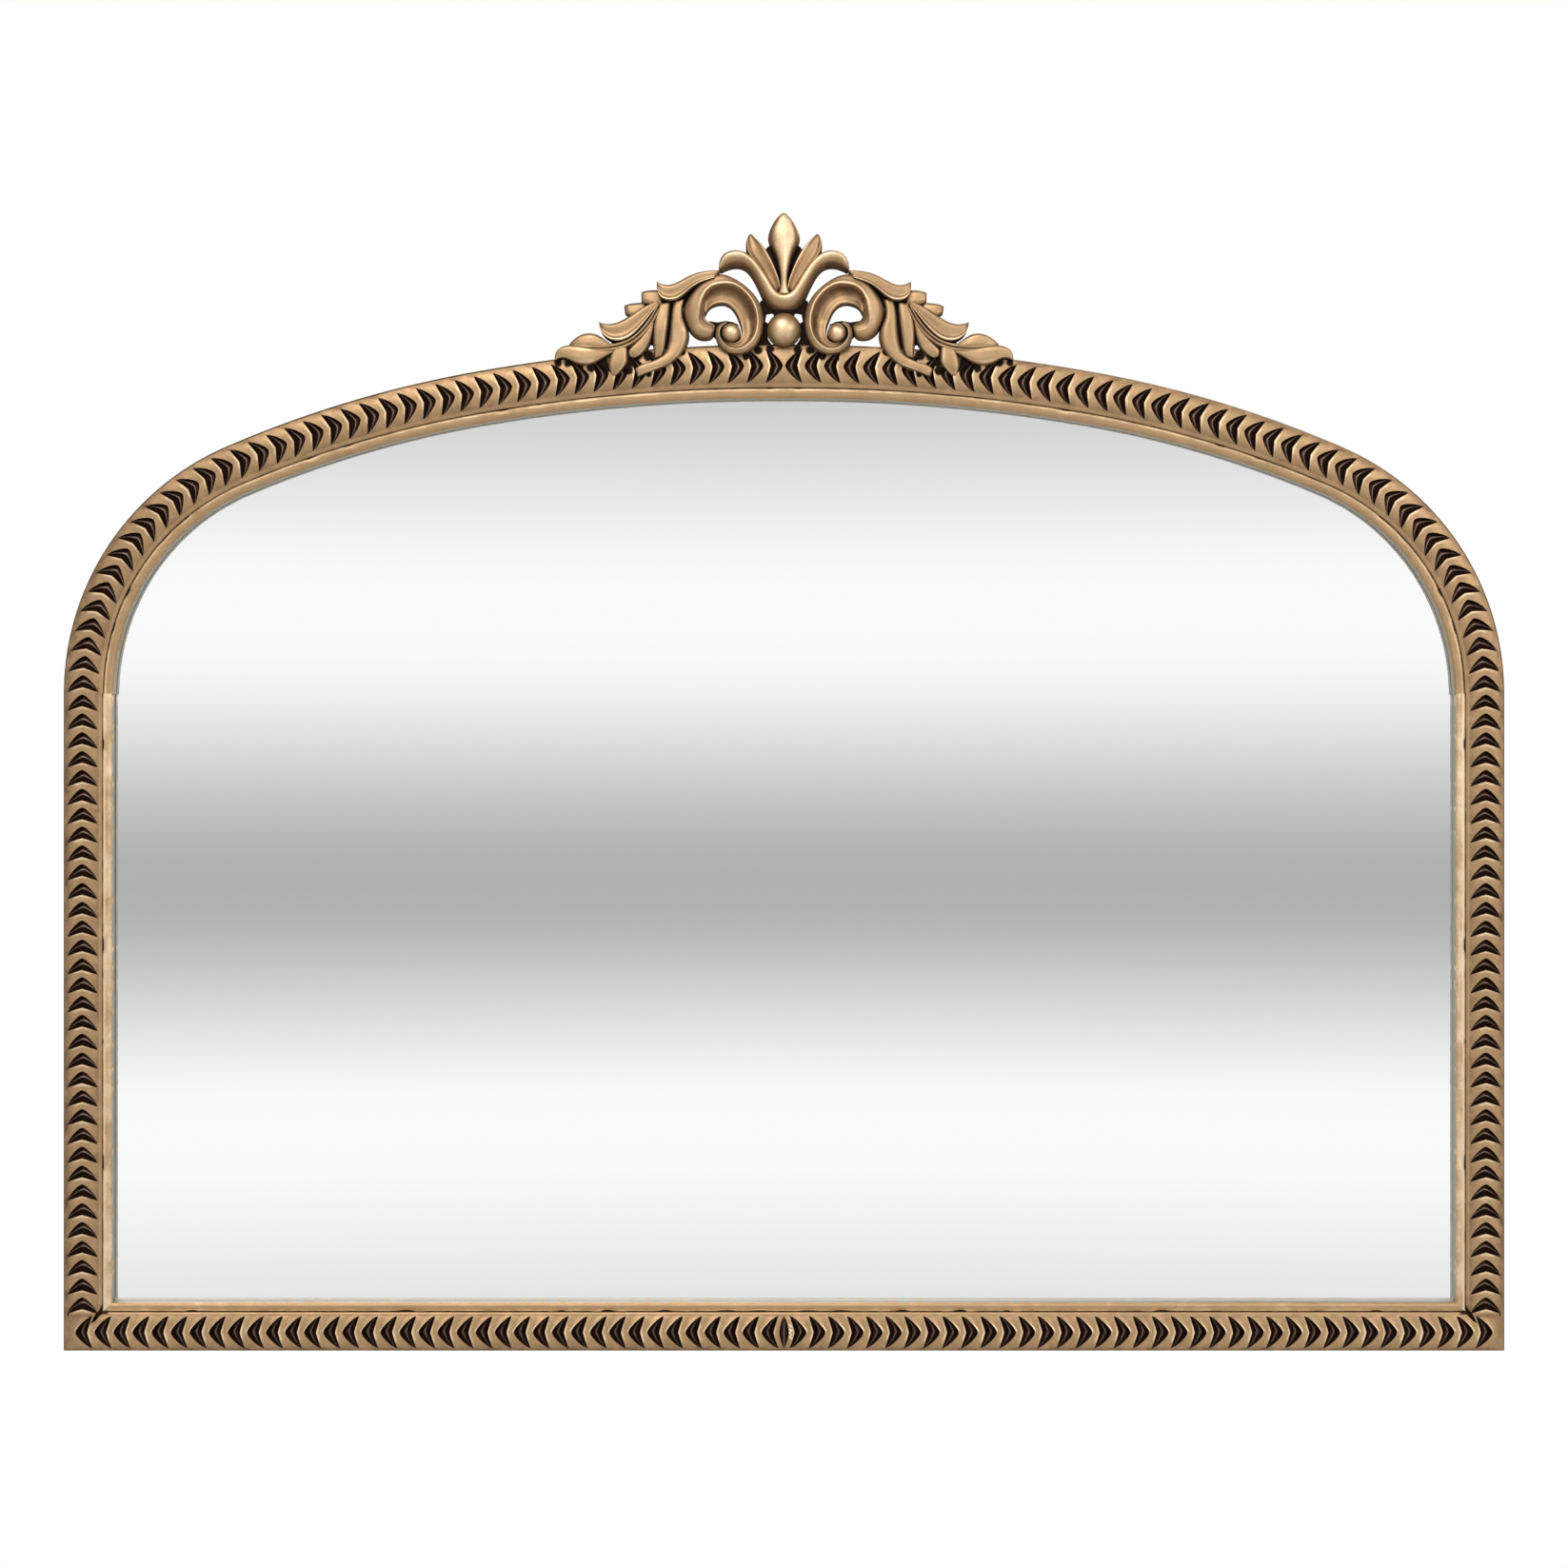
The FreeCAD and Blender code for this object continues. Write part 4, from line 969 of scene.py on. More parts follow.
# A flat ground sheet painted dark, standing for the shade between the blades.
def web(name):
    front, points = shadeWebs[name]
    spots = [crestSpot(x, height, front) for x, height in points]
    piece = blockOf(name, spots, (0, 0, (crest["webBack"] - front) * mm))
    writeDown(piece, "hollow", [1.0] * len(piece.data.vertices))
    return piece


# A ball in front of the crest's back, on a straight neck where it doesn't reach down to it.
def bead(name, x, height, radius, front):
    putDown()
    spot, back, middle = crestSpot(x, height, 0), crest["back"], front - radius
    bpy.ops.mesh.primitive_uv_sphere_add(segments=40, ring_count=24, radius=radius,
                                         location=(spot.x, spot.y, middle))
    piece = settle(nameIt(name))
    # The ball is painted brighter towards its front, a painted highlight.
    heights = [max(0.0, (v.co.z - middle) / radius) for v in piece.data.vertices]
    writeDown(piece, "tone", [height * crest["beadTone"] for height in heights])
    if middle - radius < back:
        cutOff(piece, (0, 0, back), (0, 0, -1))
        return piece
    cutOff(piece, (0, 0, middle), (0, 0, -1), fill=False)
    markNumbers(piece, openRim(piece, lambda p: True))
    bpy.ops.mesh.extrude_region_move()
    flatten(2, back)
    bpy.ops.mesh.edge_face_add()
    editDone()
    return piece


def buildCrest():
    leaves = ((topLeaf, lipProfile), (innerBlade, plainProfile), (outerBlade, plainProfile),
              (longLeaf, lipProfile), (lowerTip, plainProfile), (upperTip, plainProfile),
              (stem, stemProfile), (endLeafUpper, plainProfile), (endLeafLower, plainProfile),
              (leafDrop, plainProfile), (leafCurl, plainProfile))
    parts = [web("crestWeb"), web("sideWeb"), web("eyeWeb"), blade("scroll", scrollRows())]
    parts += [blade("leaf", bladeRows(stations, profile)) for stations, profile in leaves]
    parts.append(bead("eye", *crest["eye"], crest["eyeRadius"], crest["eyeFront"]))
    right = joinUp(parts, "crestScrollRight")
    petals = [web("palmetteWeb"), web("neckWeb"), blade("petal", bladeRows(centrePetal, ridgeProfile))]
    petal = blade("petal", bladeRows(sidePetal, dishProfile))
    petals += [petal, otherHand(petal, "petal")]
    leftHalf = tuple((-x1, h1, -x2, h2, low, high) for x1, h1, x2, h2, low, high in curledPetal[-2::-1])
    petals.append(blade("petal", bladeRows(curledPetal + leftHalf, curlProfile)))
    palmette = joinUp(petals, "crestPalmette")
    pearl = bead("crestPearl", 0.0, crest["pearl"], crest["pearlRadius"], crest["pearlFront"])
    hangPair(right, "crest_casting", crest["smoothAngle"], "crest_scroll")
    hangUp(palmette, "crest_casting", crest["smoothAngle"], "crest_palmette")
    hangUp(pearl, "crest_casting", crest["smoothAngle"], "crest_pearl")


buildCrest()
print("crest carved")


# The mirror pane, silvered behind the front of its dark edge.
glass = {
    "inset": 29.0 * mm,
    "silver": 14.5 * mm,
    "front": 16.0 * mm,
    "back": 12.0 * mm,
    "sight": 34.3 * mm,
    "edgeWidth": 0.4 * mm,
    "litBelow": (2.2 * mm, 0.7 * mm),
    "fineness": 24,
}


# The whole outline at an inset as one flat face or, left open, as a loop of edges.
def outlineSheet(name, inset, height, filled=True):
    takeUp(archGuide(inset, glass["fineness"]))
    bpy.ops.object.convert(target="MESH")
    half = setDown(nameIt(name), (0, 0, height))
    start = Vector((outline["halfWidth"] - inset, outline["spring"], height))
    markPoints(half, lambda p: (p - start).length < same)
    drawOut(0, outline["bottom"] + inset - start.y, 0)
    drawOut(-start.x, 0, 0)
    editDone()
    sheet = joinUp([half, otherHand(half, name)], name)
    editAll(sheet)
    bpy.ops.mesh.remove_doubles(threshold=same)
    if filled:
        bpy.ops.mesh.edge_face_add()
    editDone()
    return sheet


def buildPane():
    sheet = outlineSheet("mirrorPane", glass["inset"], glass["back"])
    editAll(sheet)
    drawOut(0, 0, glass["silver"] - glass["back"])
    turnOut()
    hangUp(sheet, "mirror_glass", 0, "mirror_pane")


# The dark edge of the glass, seen in the gap under the liner: its dark grey is partly the glass's own edge
# and partly painted shade under the liner's lip.
def buildEdge():
    strip = outlineSheet("glassEdge", glass["sight"], glass["silver"], filled=False)
    editAll(strip)
    drawOut(0, 0, glass["front"] - glass["silver"])
    editDone()
    wall = strip.modifiers.new("wall", "SOLIDIFY")
    wall.thickness = glass["edgeWidth"]
    wall.offset = 1.0
    finishModifiers(strip)
    hangUp(strip, "mirror_glass", 0)
    return strip


buildPane()
glassEdge = buildEdge()
print("pane set")


# The hardware on the back, in millimetres and degrees: heights from the outline's zero and distances from
# the wall. Places are right-hand ones, each with a left-hand twin.
hardware = {
    "frameBack": 6.0,
    "crestBack": 20.0,
    "screwRadius": 3.2,
    "screwHeight": 1.4,
    "screwRound": 0.55,
    "recess": (1.15, 0.26, 1.1),
    "screwTurns": (23, 41),
    "buttonSize": (10.0, 30.0, 1.4),
    "buttonBack": 4.4,
    "buttonCorner": 2.4,
    "buttonEdge": 0.35,
    "buttons": {"bottom": (253.75, -424.5, 0.0), "side": (489.0, -155.94, 90.0),
                "top": (298.19, 208.82, -16.47)},
    "buttonScrewFace": 4.2,
    "bumperRadius": 7.0,
    "bumperHeight": 5.98,
    "bumperGap": 0.01,
    "bumperRound": 2.2,
    "bumpers": {"lower": (493.75, -383.0), "upper": (354.27, 194.96)},
    "ringBar": (493.75, -14.7, 3.1),
    "ringHalf": 11.1,
    "ringSide": 5.0,
    "ringWire": 1.4,
    "hangerWidth": 13.0,
    "hangerFoot": -66.7,
    "hangerThick": 1.2,
    "hangerEdge": 0.3,
    "hangerLoop": 2.9,
    "loopSteps": 12,
    "lapDrops": (3.2, 8.0, 14.0, 8.6, 3.6, 3.0),
    "lapGap": 0.05,
    "hangerScrews": (-40.7, -56.7),
    "strapWidth": 12.0,
    "strapThick": 2.0,
    "strapEdge": 0.45,
    "strapFace": 4.0,
    "wing": (30.0, 17.0, 4.15),
    "straps": {"centre": (0.0, 244.39, 266.39, 300.39), "inner": (74.5, 242.49, 264.49, 279.49),
               "outer": (116.0, 239.49, 261.49, 276.49)},
    "strapScrews": ((0.0, 295.89, 18.0), (0.0, 276.29, 18.0), (10.5, 253.39, 4.0), (74.5, 274.99, 18.0),
                    (74.5, 251.49, 4.0), (116.0, 271.99, 18.0), (116.0, 248.49, 4.0)),
    "smoothAngle": 35,
}


# Rounds over the edges at the marked points.
def soften(piece, wanted, width, segments):
    markPoints(piece, wanted)
    bpy.ops.mesh.bevel(offset=width, segments=segments, affect="EDGES")
    editDone()


# A screw head lying on a surface and facing the wall, with a crossed recess.
def screwMaster():
    h = hardware
    radius, height = h["screwRadius"] * mm, h["screwHeight"] * mm
    putDown()
    bpy.ops.mesh.primitive_cylinder_add(vertices=32, radius=radius, depth=height,
                                        location=(0, 0, -height / 2))
    head = settle(nameIt("screwHead"))
    soften(head, lambda p: p.z < -height * 0.9, height * h["screwRound"], 4)
    for turn in (0, 90):
        putDown()
        bpy.ops.mesh.primitive_cube_add(size=1)
        recess = nameIt("recessCutter")
        long, wide, deep = h["recess"]
        recess.scale = (radius * long, radius * wide, height * deep)
        cutWith(head, setDown(recess, (0, 0, -height), turn))
    return head


def screwsAt(name, master, spots):
    first, step = hardware["screwTurns"]
    heads = [setDown(copyOf(master, name), [v * mm for v in spot], first + step * number)
             for number, spot in enumerate(spots)]
    return joinUp(heads, name)


def bothSides(spots):
    return [(side * x, *rest) for x, *rest in spots for side in ((1, -1) if x else (1,))]


def buildScrews():
    h = hardware
    master = screwMaster()
    groups = {
        "turn_button_screws": [(x, z, h["buttonScrewFace"]) for x, z, _ in h["buttons"].values()],
        "hanger_screws": [(h["ringBar"][0], z, h["frameBack"] - h["hangerThick"]) for z in h["hangerScrews"]],
        "crest_screws": h["strapScrews"],
    }
    for node, spots in groups.items():
        screws = screwsAt(node.title().replace("_", ""), master, bothSides(spots))
        hangUp(screws, "screw_steel", h["smoothAngle"], node)
    bpy.data.objects.remove(master)


def turnButton(side):
    h = hardware
    x, z, turn = h["buttons"][side]
    thick = h["buttonSize"][2] * mm
    putDown()
    bpy.ops.mesh.primitive_cube_add(size=1)
    button = nameIt("turnButton" + side.title() + "Right")
    button.scale = [v * mm for v in h["buttonSize"]]
    settle(button)
    points = button.data.vertices
    mark(button, [abs(points[e.vertices[0]].co.z - points[e.vertices[1]].co.z) > thick / 2
                  for e in button.data.edges], "EDGE")
    bpy.ops.mesh.bevel(offset=h["buttonCorner"] * mm, segments=6, affect="EDGES")
    editDone()
    soften(button, lambda p: p.z < 0, h["buttonEdge"] * mm, 2)
    return setDown(button, (x * mm, z * mm, h["buttonBack"] * mm + thick / 2), turn)


def bumper(height):
    h = hardware
    x, z = h["bumpers"][height]
    deep = h["bumperHeight"] * mm
    putDown()
    bpy.ops.mesh.primitive_cylinder_add(vertices=48, radius=h["bumperRadius"] * mm, depth=deep,
                                        location=(x * mm, z * mm, deep / 2 + h["bumperGap"] * mm))
    piece = settle(nameIt("wallBumper" + height.title() + "Right"))
    soften(piece, lambda p: p.z < 0.1 * mm, h["bumperRound"] * mm, 5)
    return piece


# The wire of a D: the upper half of a circle is flattened into the bar and lifted by the straight sides.
def dRing():
    h = hardware
    x, z, deep = (v * mm for v in h["ringBar"])
    side = h["ringSide"] * mm
    putDown()
    bpy.ops.mesh.primitive_circle_add(vertices=64, radius=h["ringHalf"] * mm)
    ring = nameIt("dRingRight")
    markPoints(ring, lambda p: p.y > same)
    flatten(1, 0)
    bpy.ops.transform.translate(value=(0, side, 0))
    editDone()
    takeUp(ring)
    bpy.ops.object.convert(target="CURVE")
    ring.data.bevel_depth = h["ringWire"] * mm
    ring.data.bevel_resolution = 4
    bpy.ops.object.convert(target="MESH")
    return setDown(ring, (x, z - side, deep))


# A strip bent to a profile of heights and distances from the wall, as wide as given.
def bentStrip(name, profile, x, width, edge):
    spots = [Vector(((x - width / 2) * mm, height * mm, deep * mm)) for height, deep in profile]
    strip = blockOf(name, spots, (width * mm, 0, 0))
    bevel = strip.modifiers.new("edge", "BEVEL")
    bevel.width = edge * mm
    bevel.segments = 2
    bevel.limit_method = "ANGLE"
    bevel.angle_limit = math.radians(50)
    finishModifiers(strip)
    return strip


# Up the plate's back, round the loop over the ring's bar, down to the lap and back inside the loop.
def hanger():
    h = hardware
    x, bar, deep = h["ringBar"]
    loop, thick, back = h["hangerLoop"], h["hangerThick"], h["frameBack"]
    steps, lapBack = h["loopSteps"], back - thick - h["lapGap"]
    turns = [math.radians(90 - 180 * i / steps) for i in range(steps + 1)]
    outer, inner = ([(bar + r * math.cos(a), deep + r * math.sin(a)) for a in turns]
                    for r in (loop, loop - thick))
    start, bend, end, bendInside, startInside, plate = (bar - drop for drop in h["lapDrops"])
    foot = [(h["hangerFoot"], back - thick), (h["hangerFoot"], back)]
    lap = [(start, deep - loop), (bend, back - 2 * thick), (end, back - 2 * thick),
           (end, lapBack), (bendInside, lapBack), (startInside, deep - loop + thick)]
    profile = foot + outer + lap + inner[::-1] + [(plate, back - thick)]
    return bentStrip("hangerStrapRight", profile, x, h["hangerWidth"], h["hangerEdge"])


# A strap steps from the frame's back to the crest's; the middle one has a wing for two screws.
def crestStrap(name):
    h = hardware
    x, foot, step, top = h["straps"][name]
    thick, edge, face = h["strapThick"], h["strapEdge"], h["strapFace"]
    back, crestBack = h["frameBack"], h["crestBack"]
    profile = [(foot, face), (foot, back), (step, back), (step, crestBack), (top, crestBack),
               (top, crestBack - thick), (step + thick, crestBack - thick), (step + thick, face)]
    strip = bentStrip("crestStrap" + name.title(), profile, x, h["strapWidth"], edge)
    if name == "centre":
        wide, long, face = h["wing"]
        corners = [(foot, face), (foot, back), (foot + long, back), (foot + long, face)]
        strip = joinUp([strip, bentStrip("wing", corners, x, wide, edge)], strip.name)
    return strip


def buildHardware():
    h = hardware
    buildScrews()
    pairs = [(turnButton(side), "plated_steel", "turn_button_" + side, True) for side in h["buttons"]]
    pairs += [(bumper(height), "bumper_rubber", "wall_bumper_" + height, False) for height in h["bumpers"]]
    pairs += [(crestStrap(name), "plated_steel", "crest_strap_" + name, False) for name in ("inner", "outer")]
    pairs += [(dRing(), "ring_steel", "d_ring", True), (hanger(), "plated_steel", "hanger_strap", False)]
    for piece, slot, node, moves in pairs:
        hangPair(piece, slot, h["smoothAngle"], node, moves)
    hangUp(crestStrap("centre"), "plated_steel", h["smoothAngle"], "crest_strap_centre")


buildHardware()
print("hardware fitted")


class Value:
    # One output of a graph's nodes, which can be used in sums like a number.
    def __init__(self, graph, socket):
        self.graph = graph
        self.socket = socket

    def work(self, operation, first, second=0.0):
        return self.graph.node("Math", {"operation": operation}, {0: first, 1: second})

    def __add__(self, other):
        return self.work("ADD", self, other)

    def __radd__(self, other):
        return self.work("ADD", other, self)

    def __sub__(self, other):
        return self.work("SUBTRACT", self, other)

    def __rsub__(self, other):
        return self.work("SUBTRACT", other, self)

    def __mul__(self, other):
        return self.work("MULTIPLY", self, other)

    def __rmul__(self, other):
        return self.work("MULTIPLY", other, self)

    def __truediv__(self, other):
        return self.work("DIVIDE", self, other)

    def most(self, other):
        return self.work("MAXIMUM", self, other)

    def size(self):
        return self.work("ABSOLUTE", self)

    def between(self, low, high):
        return self.graph.node("MapRange", {"interpolation_type": "SMOOTHSTEP"},
                               {"Value": self, "From Min": low, "From Max": high})


class Graph:
    # The nodes of a material or of the world.
    def __init__(self, tree):
        self.tree = tree
        tree.nodes.clear()

    def node(self, kind, settings=None, values=None, output=0):
        made = self.tree.nodes.new("ShaderNode" + kind)
        for key, value in (settings or {}).items():
            if key == "stops":
                self.setStops(made.color_ramp.elements, value)
            else:
                setattr(made, key, value)
        for key, value in (values or {}).items():
            self.feed(made.inputs[key], value)
        return Value(self, made.outputs[output])

    def setStops(self, points, stops):
        while len(points) < len(stops):
            points.new(0.5)
        for point, (position, grey) in zip(points, stops):
            point.position = position
            point.color = (grey, grey, grey, 1.0)

    def feed(self, socket, value):
        if isinstance(value, Value):
            self.tree.links.new(value.socket, socket)
        elif isinstance(value, tuple) and socket.type == "RGBA":
            socket.default_value = (*value, 1.0)
        else:
            socket.default_value = value

    def mix(self, factor, first, second):
        return self.node("Mix", {"data_type": "RGBA"}, {0: factor, 6: first, 7: second}, output=2)

    def axis(self, which, heading=None):
        return self.node("SeparateXYZ", None, {"Vector": heading or self.spot}, output=which)

    def end(self, kind, value):
        self.feed(self.tree.nodes.new("ShaderNodeOutput" + kind).inputs["Surface"], value)


class Paint(Graph):
    def __init__(self, name):
        self.material = bpy.data.materials.new(name)
        self.material.use_nodes = True
        super().__init__(self.material.node_tree)
        self.spot = self.node("TexCoord", output="Object")

    def noise(self, scale, detail=2.0, spot=None):
        values = {"Vector": spot or self.spot, "Scale": scale, "Detail": detail}
        return self.node("TexNoise", None, values, output="Fac")

    # Noise about zero, for a rough edge to what it is added to.
    def ragged(self, scale, amount, detail=2.0):
        return (self.noise(scale, detail) - 0.5) * amount

    def stretched(self, x, y, z):
        return self.node("Mapping", None, {"Vector": self.spot, "Scale": (x, y, z)})

    def corners(self, distance):
        return self.node("AmbientOcclusion", {"samples": 8}, {"Distance": distance}, output="AO")

    def attribute(self, name):
        return self.node("Attribute", {"attribute_type": "GEOMETRY", "attribute_name": name}, output="Fac")

    def bump(self, height, distance, strength):
        return self.node("Bump", None, {"Height": height, "Distance": distance, "Strength": strength})

    def finish(self, **values):
        named = {key.replace("_", " "): value for key, value in values.items()}
        self.end("Material", self.node("BsdfPrincipled", None, named))
        return self.material


# A colour as picked on a screen, 0 to 255, in the renderer's scale.
def linear(r, g, b):
    return tuple((c / 255) ** 2.2 for c in (r, g, b))


# The gilding. Pairs of numbers are where a change starts and where it is full: on the painted brightness,
# part rubbing and part painted light and shade, from dull to bright for soil and shade, rib, wear and
# highlight, and filler, on noise for the tints.
gold = {
    "dull": linear(134, 107, 78),
    "rib": linear(172, 141, 105),
    "worn": linear(240, 212, 172),
    "filler": linear(236, 224, 204),
    "soil": linear(88, 64, 40),
    "umber": linear(52, 33, 18),
    "pink": linear(196, 152, 120),
    "olive": linear(170, 148, 98),
    "pocket": linear(62, 42, 32),
    "pocketLight": linear(132, 117, 108),
    "crevice": linear(36, 25, 20),
    "sight": linear(158, 154, 140),
    "wood": linear(172, 130, 86),
    "woodDark": linear(132, 94, 58),
    "soilTo": (-0.2, 0.16),
    "ribFrom": (0.0, 0.75),
    "wornFrom": (0.72, 1.25),
    "fillerFrom": (1.3, 1.5),
    "tints": (("pink", 120.0, 0.5), ("olive", 150.0, 0.52)),
    "tintFull": 0.72,
    "tintShare": 0.4,
    "shadeOver": 0.28,
    "hollowFrom": (0.3, 0.55),
    "streakFrom": (0.55, 1.0),
    "sightFrom": (0.3, 0.9),
    "bareOver": 0.0012,
    "stileFrom": (0.44, 0.475),
    "grainScale": 60.0,
    "grainStretch": 6.0,
    "metallic": 0.7,
    "pocketMetallic": 0.92,
    "roughness": 0.46,
    "bump": 0.00012,
}

# Painted shadow round the crest on the moulding below it, where its leaves shade the moulding: places
# from the crest's axis and above the crown of the arch, and how far each reaches, in millimetres.
crestShadowSpots = ((159, -13.4, 3.4), (151.5, -13.2, 4.2), (144, -17.6, 3.8), (136, -17.4, 4.0), (128, -13, 6.2),
              (124.5, -17, 4.4), (108.5, -12.5, 6.2), (109.5, -18.8, 4.6), (103.5, -8, 5.4),
              (95.5, -8.6, 5.0), (88, -8.4, 4.4), (72, -6, 3.6), (78, -12.4, 3.4), (86, -16.8, 3.2),
              (95, -21.4, 3.0),
              (27, -9.4, 3.4), (36, -10.6, 3.2), (18.6, -4.6, 4.2), (9.6, -3.6, 3.8))


def crestShadowPaint(p):
    flat = p.node("CombineXYZ", None, {0: p.axis(0).size(), 2: p.axis(2)})
    near = -1.0
    for x, height, reach in crestShadowSpots:
        centre = (x * mm, 0.0, crownZ + height * mm)
        away = p.node("VectorMath", {"operation": "DISTANCE"}, {0: flat, 1: centre}, output="Value")
        near = (1.0 - away / (reach * mm)).most(near)
    return (near + p.ragged(220.0, 0.6)).between(0.0, 0.42)


# Antique gilding: dull in the hollows and borders, bright where the tone is high, partly rubbed wear and
# partly painted highlight, darkest where it is lowest, partly soil and partly painted shade, umber in the
# recesses, partly glaze and partly painted shade, painted shadow where the crest stands over the moulding,
# dark pockets with a painted glint, the liner's inner wall painted grey as shade, and bare wood behind the
# depth where the gilder stopped, with its grain upright on the stiles.
def gildedPaint(name, tone, recess, dark, bareFrom, pit="pocket", castShadow=None):
    g = gold
    p = Paint(name)
    fine = p.noise(420.0, 3.0)
    # The tone is how bright the gilding is painted: partly rubbed wear, partly painted highlight and shade.
    high = tone(p) + p.ragged(70.0, 0.7, 3.0) + (fine - 0.5) * 0.2
    colour = p.mix(high.between(*g["ribFrom"]), g["dull"], g["rib"])
    for tint, scale, start in g["tints"]:
        colour = p.mix(p.noise(scale).between(start, g["tintFull"]) * g["tintShare"], colour, g[tint])
    colour = p.mix(high.between(*g["wornFrom"]), colour, g["worn"])
    # Darkest brown where the tone is lowest: partly soil, partly painted shade along the blades' edges.
    colour = p.mix(high.between(*g["soilTo"]), g["soil"], colour)
    colour = p.mix(high.between(*g["fillerFrom"]), colour, g["filler"])
    # Umber in the recesses: partly the glaze of antique gilding, partly painted shade where the parts hide
    # each other.
    shade = (1.0 - p.corners(recess) + p.ragged(160.0, 0.35)).between(dark, dark + g["shadeOver"])
    # Painted shadow of the crest on the moulding, darkened like the recesses.
    paintedShadow = castShadow(p) if castShadow else 0.0
    colour = p.mix(paintedShadow, p.mix(shade, colour, g["umber"]), g["crevice"])
    shade = shade.most(paintedShadow)
    hollow = (p.attribute("hollow") + p.ragged(700.0, 0.2)).between(*g["hollowFrom"])
    # A painted glint along the middle of each pocket's floor, where the tone is high.
    paintedGlint = (p.attribute("tone") + p.ragged(300.0, 0.5)).between(*g["streakFrom"])
    colour = p.mix(hollow, colour, p.mix(paintedGlint, g[pit], g["pocketLight"]))
    # The liner's inner wall is painted grey olive, a painted shade of its gilding.
    colour = p.mix(p.attribute("sight").between(*g["sightFrom"]), colour, g["sight"])
    bare = (p.axis(1) + p.ragged(90.0, 0.003, 3.0)).between(-bareFrom - g["bareOver"], -bareFrom)
    upright = p.axis(0).size().between(*g["stileFrom"])
    scale, long = g["grainScale"], g["grainStretch"]
    grain = p.noise(scale, 4.0, p.stretched(1.0, 1.0, long)) * (1.0 - upright)
    grain = (grain + p.noise(scale, 4.0, p.stretched(long, 1.0, 1.0)) * upright).between(0.3, 0.7)
    colour = p.mix(bare, colour, p.mix(grain, g["wood"], g["woodDark"]))
    rough = g["roughness"] + (fine - 0.5) * 0.25 + (shade + bare) * 0.25
    metallic = (g["metallic"] * (1.0 - shade)).most(hollow.most(paintedShadow) * g["pocketMetallic"]) * (1.0 - bare)
    return p.finish(Base_Color=colour, Metallic=metallic, Roughness=rough,
                    Normal=p.bump(p.noise(650.0, 3.0) * 0.6 + fine * 0.4, g["bump"], 0.6))


def plainPaint(name, first, second, scale, roughness, metallic=0.0, stretch=(1, 1, 1)):
    p = Paint(name)
    spot = p.stretched(*stretch)
    patches = p.noise(scale, 4.0, spot)
    fine = p.noise(scale * 7, 2.0, spot)
    colour = p.mix(patches.between(0.3, 0.7), linear(*first), linear(*second))
    return p.finish(Base_Color=colour, Metallic=metallic, Roughness=roughness + (fine - 0.5) * 0.2,
                    Normal=p.bump((patches + fine) * 0.5, 0.00008, 0.6))


# The glass's dark edge is painted light along the bottom, a painted highlight where light from above falls
# on it.
def edgePaint():
    p = Paint("glassEdge")
    foot = outline["bottom"] + glass["sight"]
    low = p.axis(2).between(*(foot + up for up in glass["litBelow"]))
    shade = p.mix(p.noise(80.0, 3.0).between(0.3, 0.7), linear(84, 88, 90), linear(108, 110, 108))
    return p.finish(Base_Color=p.mix(low, shade, linear(214, 214, 210)), Roughness=0.3 + p.noise(60.0) * 0.1,
                    Normal=p.bump(p.noise(300.0), 0.0001, 0.4))


def glassPaint():
    p = Paint("mirrorGlass")
    rough = 0.012 + p.noise(3.0, 1.0) * 0.012
    return p.finish(Base_Color=(0.955, 0.962, 0.96), Metallic=1.0, Roughness=rough,
                    Normal=p.bump(p.noise(1.4, 1.0), 0.0004, 0.15))


def mouldingTone(p):
    return p.attribute("tone")


def linerTone(p):
    return p.attribute("tone") + p.noise(14.0) * 0.4 + 0.72


# The crest is painted brighter where it stands furthest from the wall, a painted highlight.
def crestTone(p):
    return p.attribute("tone") * 0.95 + (0.0 - p.axis(1)).between(0.029, 0.0385) * 0.15


paints = {
    "gilt_moulding": gildedPaint("giltMoulding", mouldingTone, 0.005, 0.46, 0.0072, castShadow=crestShadowPaint),
    "gilt_liner": gildedPaint("giltLiner", linerTone, 0.003, 0.6, 0.0072),
    "crest_casting": gildedPaint("crestGilding", crestTone, 0.005, 0.42, 0.0208, "crevice"),
    "joint_wood": plainPaint("jointWood", (176, 134, 88), (138, 98, 60), 30.0, 0.6, stretch=(1, 12, 12)),
    "backing_board": plainPaint("backingBoard", (126, 91, 61), (114, 81, 53), 160.0, 0.75),
    "cork_pad": plainPaint("corkPad", (176, 132, 88), (112, 76, 46), 500.0, 0.85),
    "bumper_rubber": plainPaint("bumperRubber", (34, 33, 32), (50, 48, 46), 300.0, 0.55),
    "screw_steel": plainPaint("screwSteel", (198, 168, 104), (164, 132, 78), 300.0, 0.34, 1.0),
    "plated_steel": plainPaint("platedSteel", (176, 176, 174), (142, 142, 140), 120.0, 0.36, 1.0),
    "ring_steel": plainPaint("ringSteel", (186, 182, 174), (150, 146, 138), 200.0, 0.28, 1.0),
    "mirror_glass": glassPaint(),
    "glassEdge": edgePaint(),
}


def dress(piece, paint):
    piece.data.materials.clear()
    piece.data.materials.append(paints[paint])


for part in frame["record"]["subparts"]:
    dress(frame["nodes"][part["node"]], part["material_slot"])
for piece in hung:
    dress(piece, piece["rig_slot"])
dress(glassEdge, "glassEdge")
print("surfaces painted")


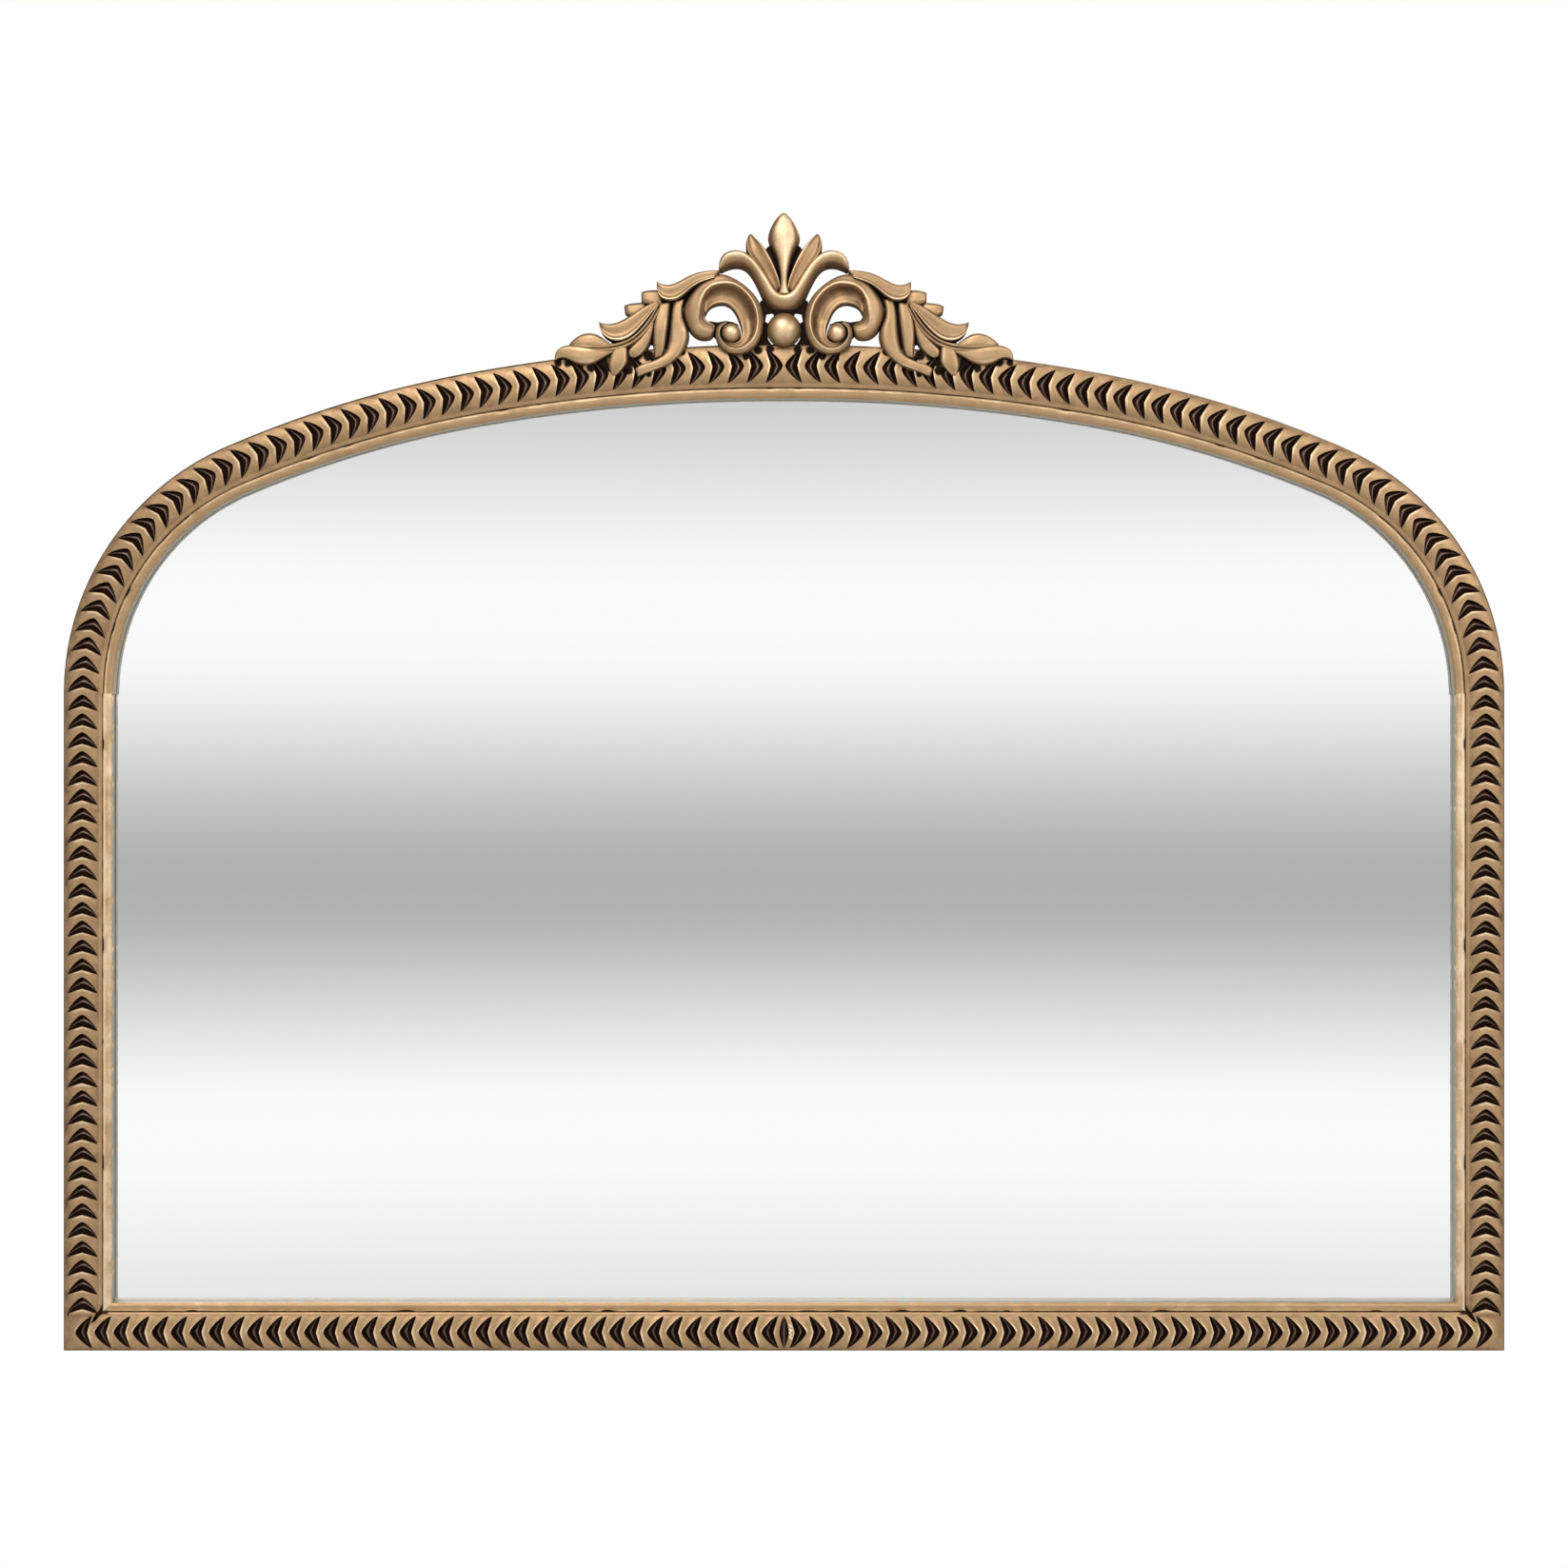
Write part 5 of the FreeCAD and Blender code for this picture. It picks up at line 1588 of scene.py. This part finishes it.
# The camera, lights and background. A lamp is given by its spot, size, power and colour.
studio = {
    "distance": 2.3,
    "height": -0.0437,
    "pictureWidth": 1.1025,
    "frontPlane": 0.030,
    "sensor": 36,
    "clip": (0.01, 50),
    "ambient": 0.32,
    "room": (0.1, -0.8),
    "sides": 0.12,
    "floor": -0.75,
    "floorReach": (-2.1, 0.55),
    "floorWidth": 5,
    "aim": (0, 0, -0.05),
    "lamps": {
        "keyLamp": ((-0.6, -2.2, 2.1), 2.0, 66, (1.0, 0.98, 0.95)),
        "fillLamp": ((1.9, -2.0, 0.9), 1.6, 24, (0.97, 0.98, 1.0)),
        "rearLamp": ((0.9, 2.2, 1.6), 1.6, 30, (1.0, 1.0, 1.0)),
    },
}
# How bright the mirrored room is at each height of a ray's direction, from straight down to straight up.
mirrored = ((-0.60, 0.42), (-0.30, 0.60), (-0.156, 0.812), (-0.116, 1.0), (-0.0955, 1.0), (-0.0821, 0.87),
            (-0.0647, 0.68), (-0.0474, 0.51), (-0.0387, 0.463), (-0.030, 0.445), (-0.021, 0.463),
            (-0.012, 0.515), (0.006, 0.68), (0.024, 0.87), (0.033, 0.95), (0.042, 1.0), (0.0655, 1.0),
            (0.115, 0.644), (0.30, 0.62), (0.60, 0.78), (1.0, 0.85))


def makeCamera():
    s = studio
    putDown()
    bpy.ops.object.camera_add(location=(0, -s["distance"], s["height"]), rotation=(math.radians(90), 0, 0))
    camera = nameIt("camera").data
    camera.sensor_width = s["sensor"]
    camera.lens = s["sensor"] * (s["distance"] - s["frontPlane"]) / s["pictureWidth"]
    camera.clip_start, camera.clip_end = s["clip"]
    bpy.context.scene.camera = bpy.context.object


# The picture's ground is pure white. What the glass shows is a plain room: lighter above and at the
# level of the eye, greyer between, set by the height of the direction that a glossy ray leaves in, and
# dim to the sides.
def makeWorld():
    s = studio
    world = bpy.data.worlds.new("studioWorld")
    bpy.context.scene.world = world
    world.use_nodes = True
    g = Graph(world.node_tree)
    heading = g.node("TexCoord", output="Generated")
    height = g.node("MapRange", None, {"Value": g.axis(2, heading), "From Min": -1.0})
    stops = [((level + 1) / 2, grey) for level, grey in mirrored]
    room = g.node("ValToRGB", {"stops": stops}, {"Fac": height})
    room = g.mix(g.axis(1, heading).between(*s["room"]), (s["sides"],) * 3, room)
    shown = g.mix(g.node("LightPath", output="Is Glossy Ray"), (s["ambient"],) * 3, room)
    shown = g.mix(g.node("LightPath", output="Is Camera Ray"), shown, (1.0, 1.0, 1.0))
    g.end("World", g.node("Background", None, {"Color": shown}))


def makeLamp(name, spot, size, power, colour):
    putDown()
    aim = Vector(studio["aim"]) - Vector(spot)
    bpy.ops.object.light_add(type="AREA", location=spot, rotation=aim.to_track_quat("-Z", "Y").to_euler())
    lamp = nameIt(name).data
    lamp.shape = "SQUARE"
    lamp.size = size
    lamp.energy = power
    lamp.color = colour


def makeFloor():
    putDown()
    near, far = studio["floorReach"]
    bpy.ops.mesh.primitive_plane_add(size=1, location=(0, (near + far) / 2, studio["floor"]))
    floor = nameIt("studioFloor")
    floor.scale = (studio["floorWidth"], far - near, 1)
    settle(floor)
    p = Paint("studioFloor")
    soft = p.noise(6.0, 3.0)
    shade = p.mix(soft.between(0.3, 0.7), (0.80, 0.80, 0.79), (0.86, 0.86, 0.85))
    floor.data.materials.append(p.finish(Base_Color=shade, Roughness=0.55 + soft * 0.2,
                                         Normal=p.bump(p.noise(80.0), 0.0002, 0.3)))


makeCamera()
makeWorld()
makeFloor()
for name, values in studio["lamps"].items():
    makeLamp(name, *values)
bpy.context.scene.view_settings.view_transform = "Standard"
